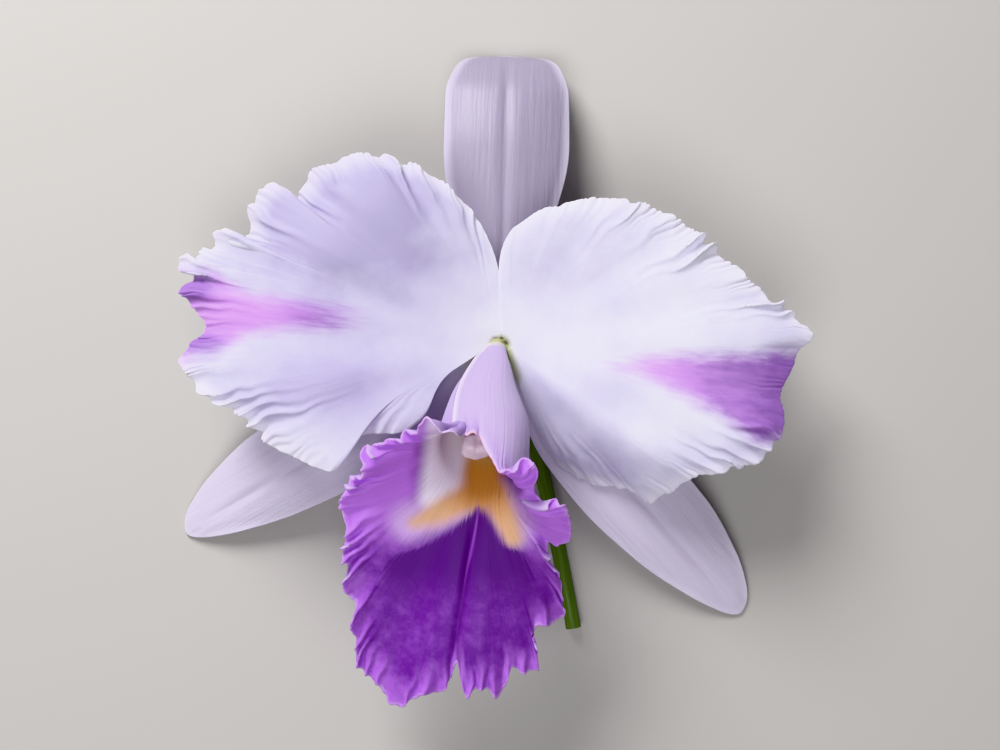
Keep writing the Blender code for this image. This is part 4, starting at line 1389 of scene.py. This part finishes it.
class CATTLEYA_OT_stage(bpy.types.Operator):
    """Make the floor, the lights and the camera above the bloom's face"""

    bl_idname = "cattleya.stage"
    bl_label = "Stage"

    def execute(self, context):
        stage = context.scene.bloom_stage
        matt, tree, shader = new_material("matt painted board")
        grain = patches_of(tree, 1.5, 2.0, 0.5)
        rough = add(tree, "ShaderNodeBump", {"Strength": 0.3, "Distance": 0.02 * MM, "Height": grain})
        set_inputs(tree, shader, {"Base Color": stage.floor, "Roughness": 0.9, "Normal": rough})
        mesh = bpy.data.meshes.new("floor")
        corners = [(x * FLOOR_HALF, y * FLOOR_HALF, 0) for x, y in ((-1, -1), (1, -1), (1, 1), (-1, 1))]
        mesh.from_pydata(corners, [], [(0, 1, 2, 3)])
        mesh.materials.append(matt)
        placed("floor", mesh)
        world = bpy.data.worlds.new("soft grey room")
        world.use_nodes = True
        background = world.node_tree.nodes["Background"]
        set_inputs(world.node_tree, background, {"Color": srgb("#E2E2E8"), "Strength": 0.3})
        context.scene.world = world
        heart = Vector(HEART * MM)
        for name, offset, size, power in (
            ("key light", KEY_OFFSET, KEY_SIZE, stage.key_power),
            ("fill light", FILL_OFFSET, FILL_SIZE, stage.fill_power),
        ):
            light = bpy.data.lights.new(name, "AREA")
            light.shape = "DISK"
            light.size = size
            light.energy = power
            made = placed(name, light)
            made.location = heart + Vector(offset)
            made.rotation_euler = (heart - made.location).to_track_quat("-Z", "Y").to_euler()
        camera = bpy.data.cameras.new("camera")
        camera.sensor_width = SENSOR_WIDTH
        camera.lens = SENSOR_WIDTH * EYE_HEIGHT / VIEW_WIDTH
        camera.clip_start = 0.01
        seen_from = placed("camera", camera)
        seen_from.location = heart + Vector((0, -EYE_DOWN * MM, stage.eye_height))
        context.scene.camera = seen_from
        context.scene.view_settings.view_transform = "Khronos PBR Neutral"
        return {"FINISHED"}


class CATTLEYA_PT_bloom(bpy.types.Panel):
    """The bloom's settings and pieces"""

    bl_idname = "CATTLEYA_PT_bloom"
    bl_label = "Cattleya bloom"
    bl_space_type = "VIEW_3D"
    bl_region_type = "UI"
    bl_category = "Cattleya"

    def draw(self, context):
        for settings in (context.scene.bloom_shape, context.scene.bloom_colours, context.scene.bloom_stage):
            box = self.layout.box()
            for name in settings.__annotations__:
                box.prop(settings, name)
        for operator in OPERATORS:
            self.layout.operator(operator.bl_idname)


SETTINGS = (BloomShape, BloomColours, StageSettings)
OPERATORS = (
    CATTLEYA_OT_stage,
    CATTLEYA_OT_sepals,
    CATTLEYA_OT_petals,
    CATTLEYA_OT_lip,
    CATTLEYA_OT_column,
    CATTLEYA_OT_pedicel,
)


def register():
    for made in (*SETTINGS, *OPERATORS, CATTLEYA_PT_bloom):
        bpy.utils.register_class(made)
    bpy.types.Scene.bloom_shape = bpy.props.PointerProperty(type=BloomShape)
    bpy.types.Scene.bloom_colours = bpy.props.PointerProperty(type=BloomColours)
    bpy.types.Scene.bloom_stage = bpy.props.PointerProperty(type=StageSettings)


def unregister():
    del bpy.types.Scene.bloom_stage
    del bpy.types.Scene.bloom_colours
    del bpy.types.Scene.bloom_shape
    for made in reversed((*SETTINGS, *OPERATORS, CATTLEYA_PT_bloom)):
        bpy.utils.unregister_class(made)


def main():
    register()
    bpy.ops.cattleya.stage()
    bpy.ops.cattleya.sepals()
    bpy.ops.cattleya.petals()
    bpy.ops.cattleya.lip()
    bpy.ops.cattleya.column()
    bpy.ops.cattleya.pedicel()


if __name__ == "__main__":
    main()
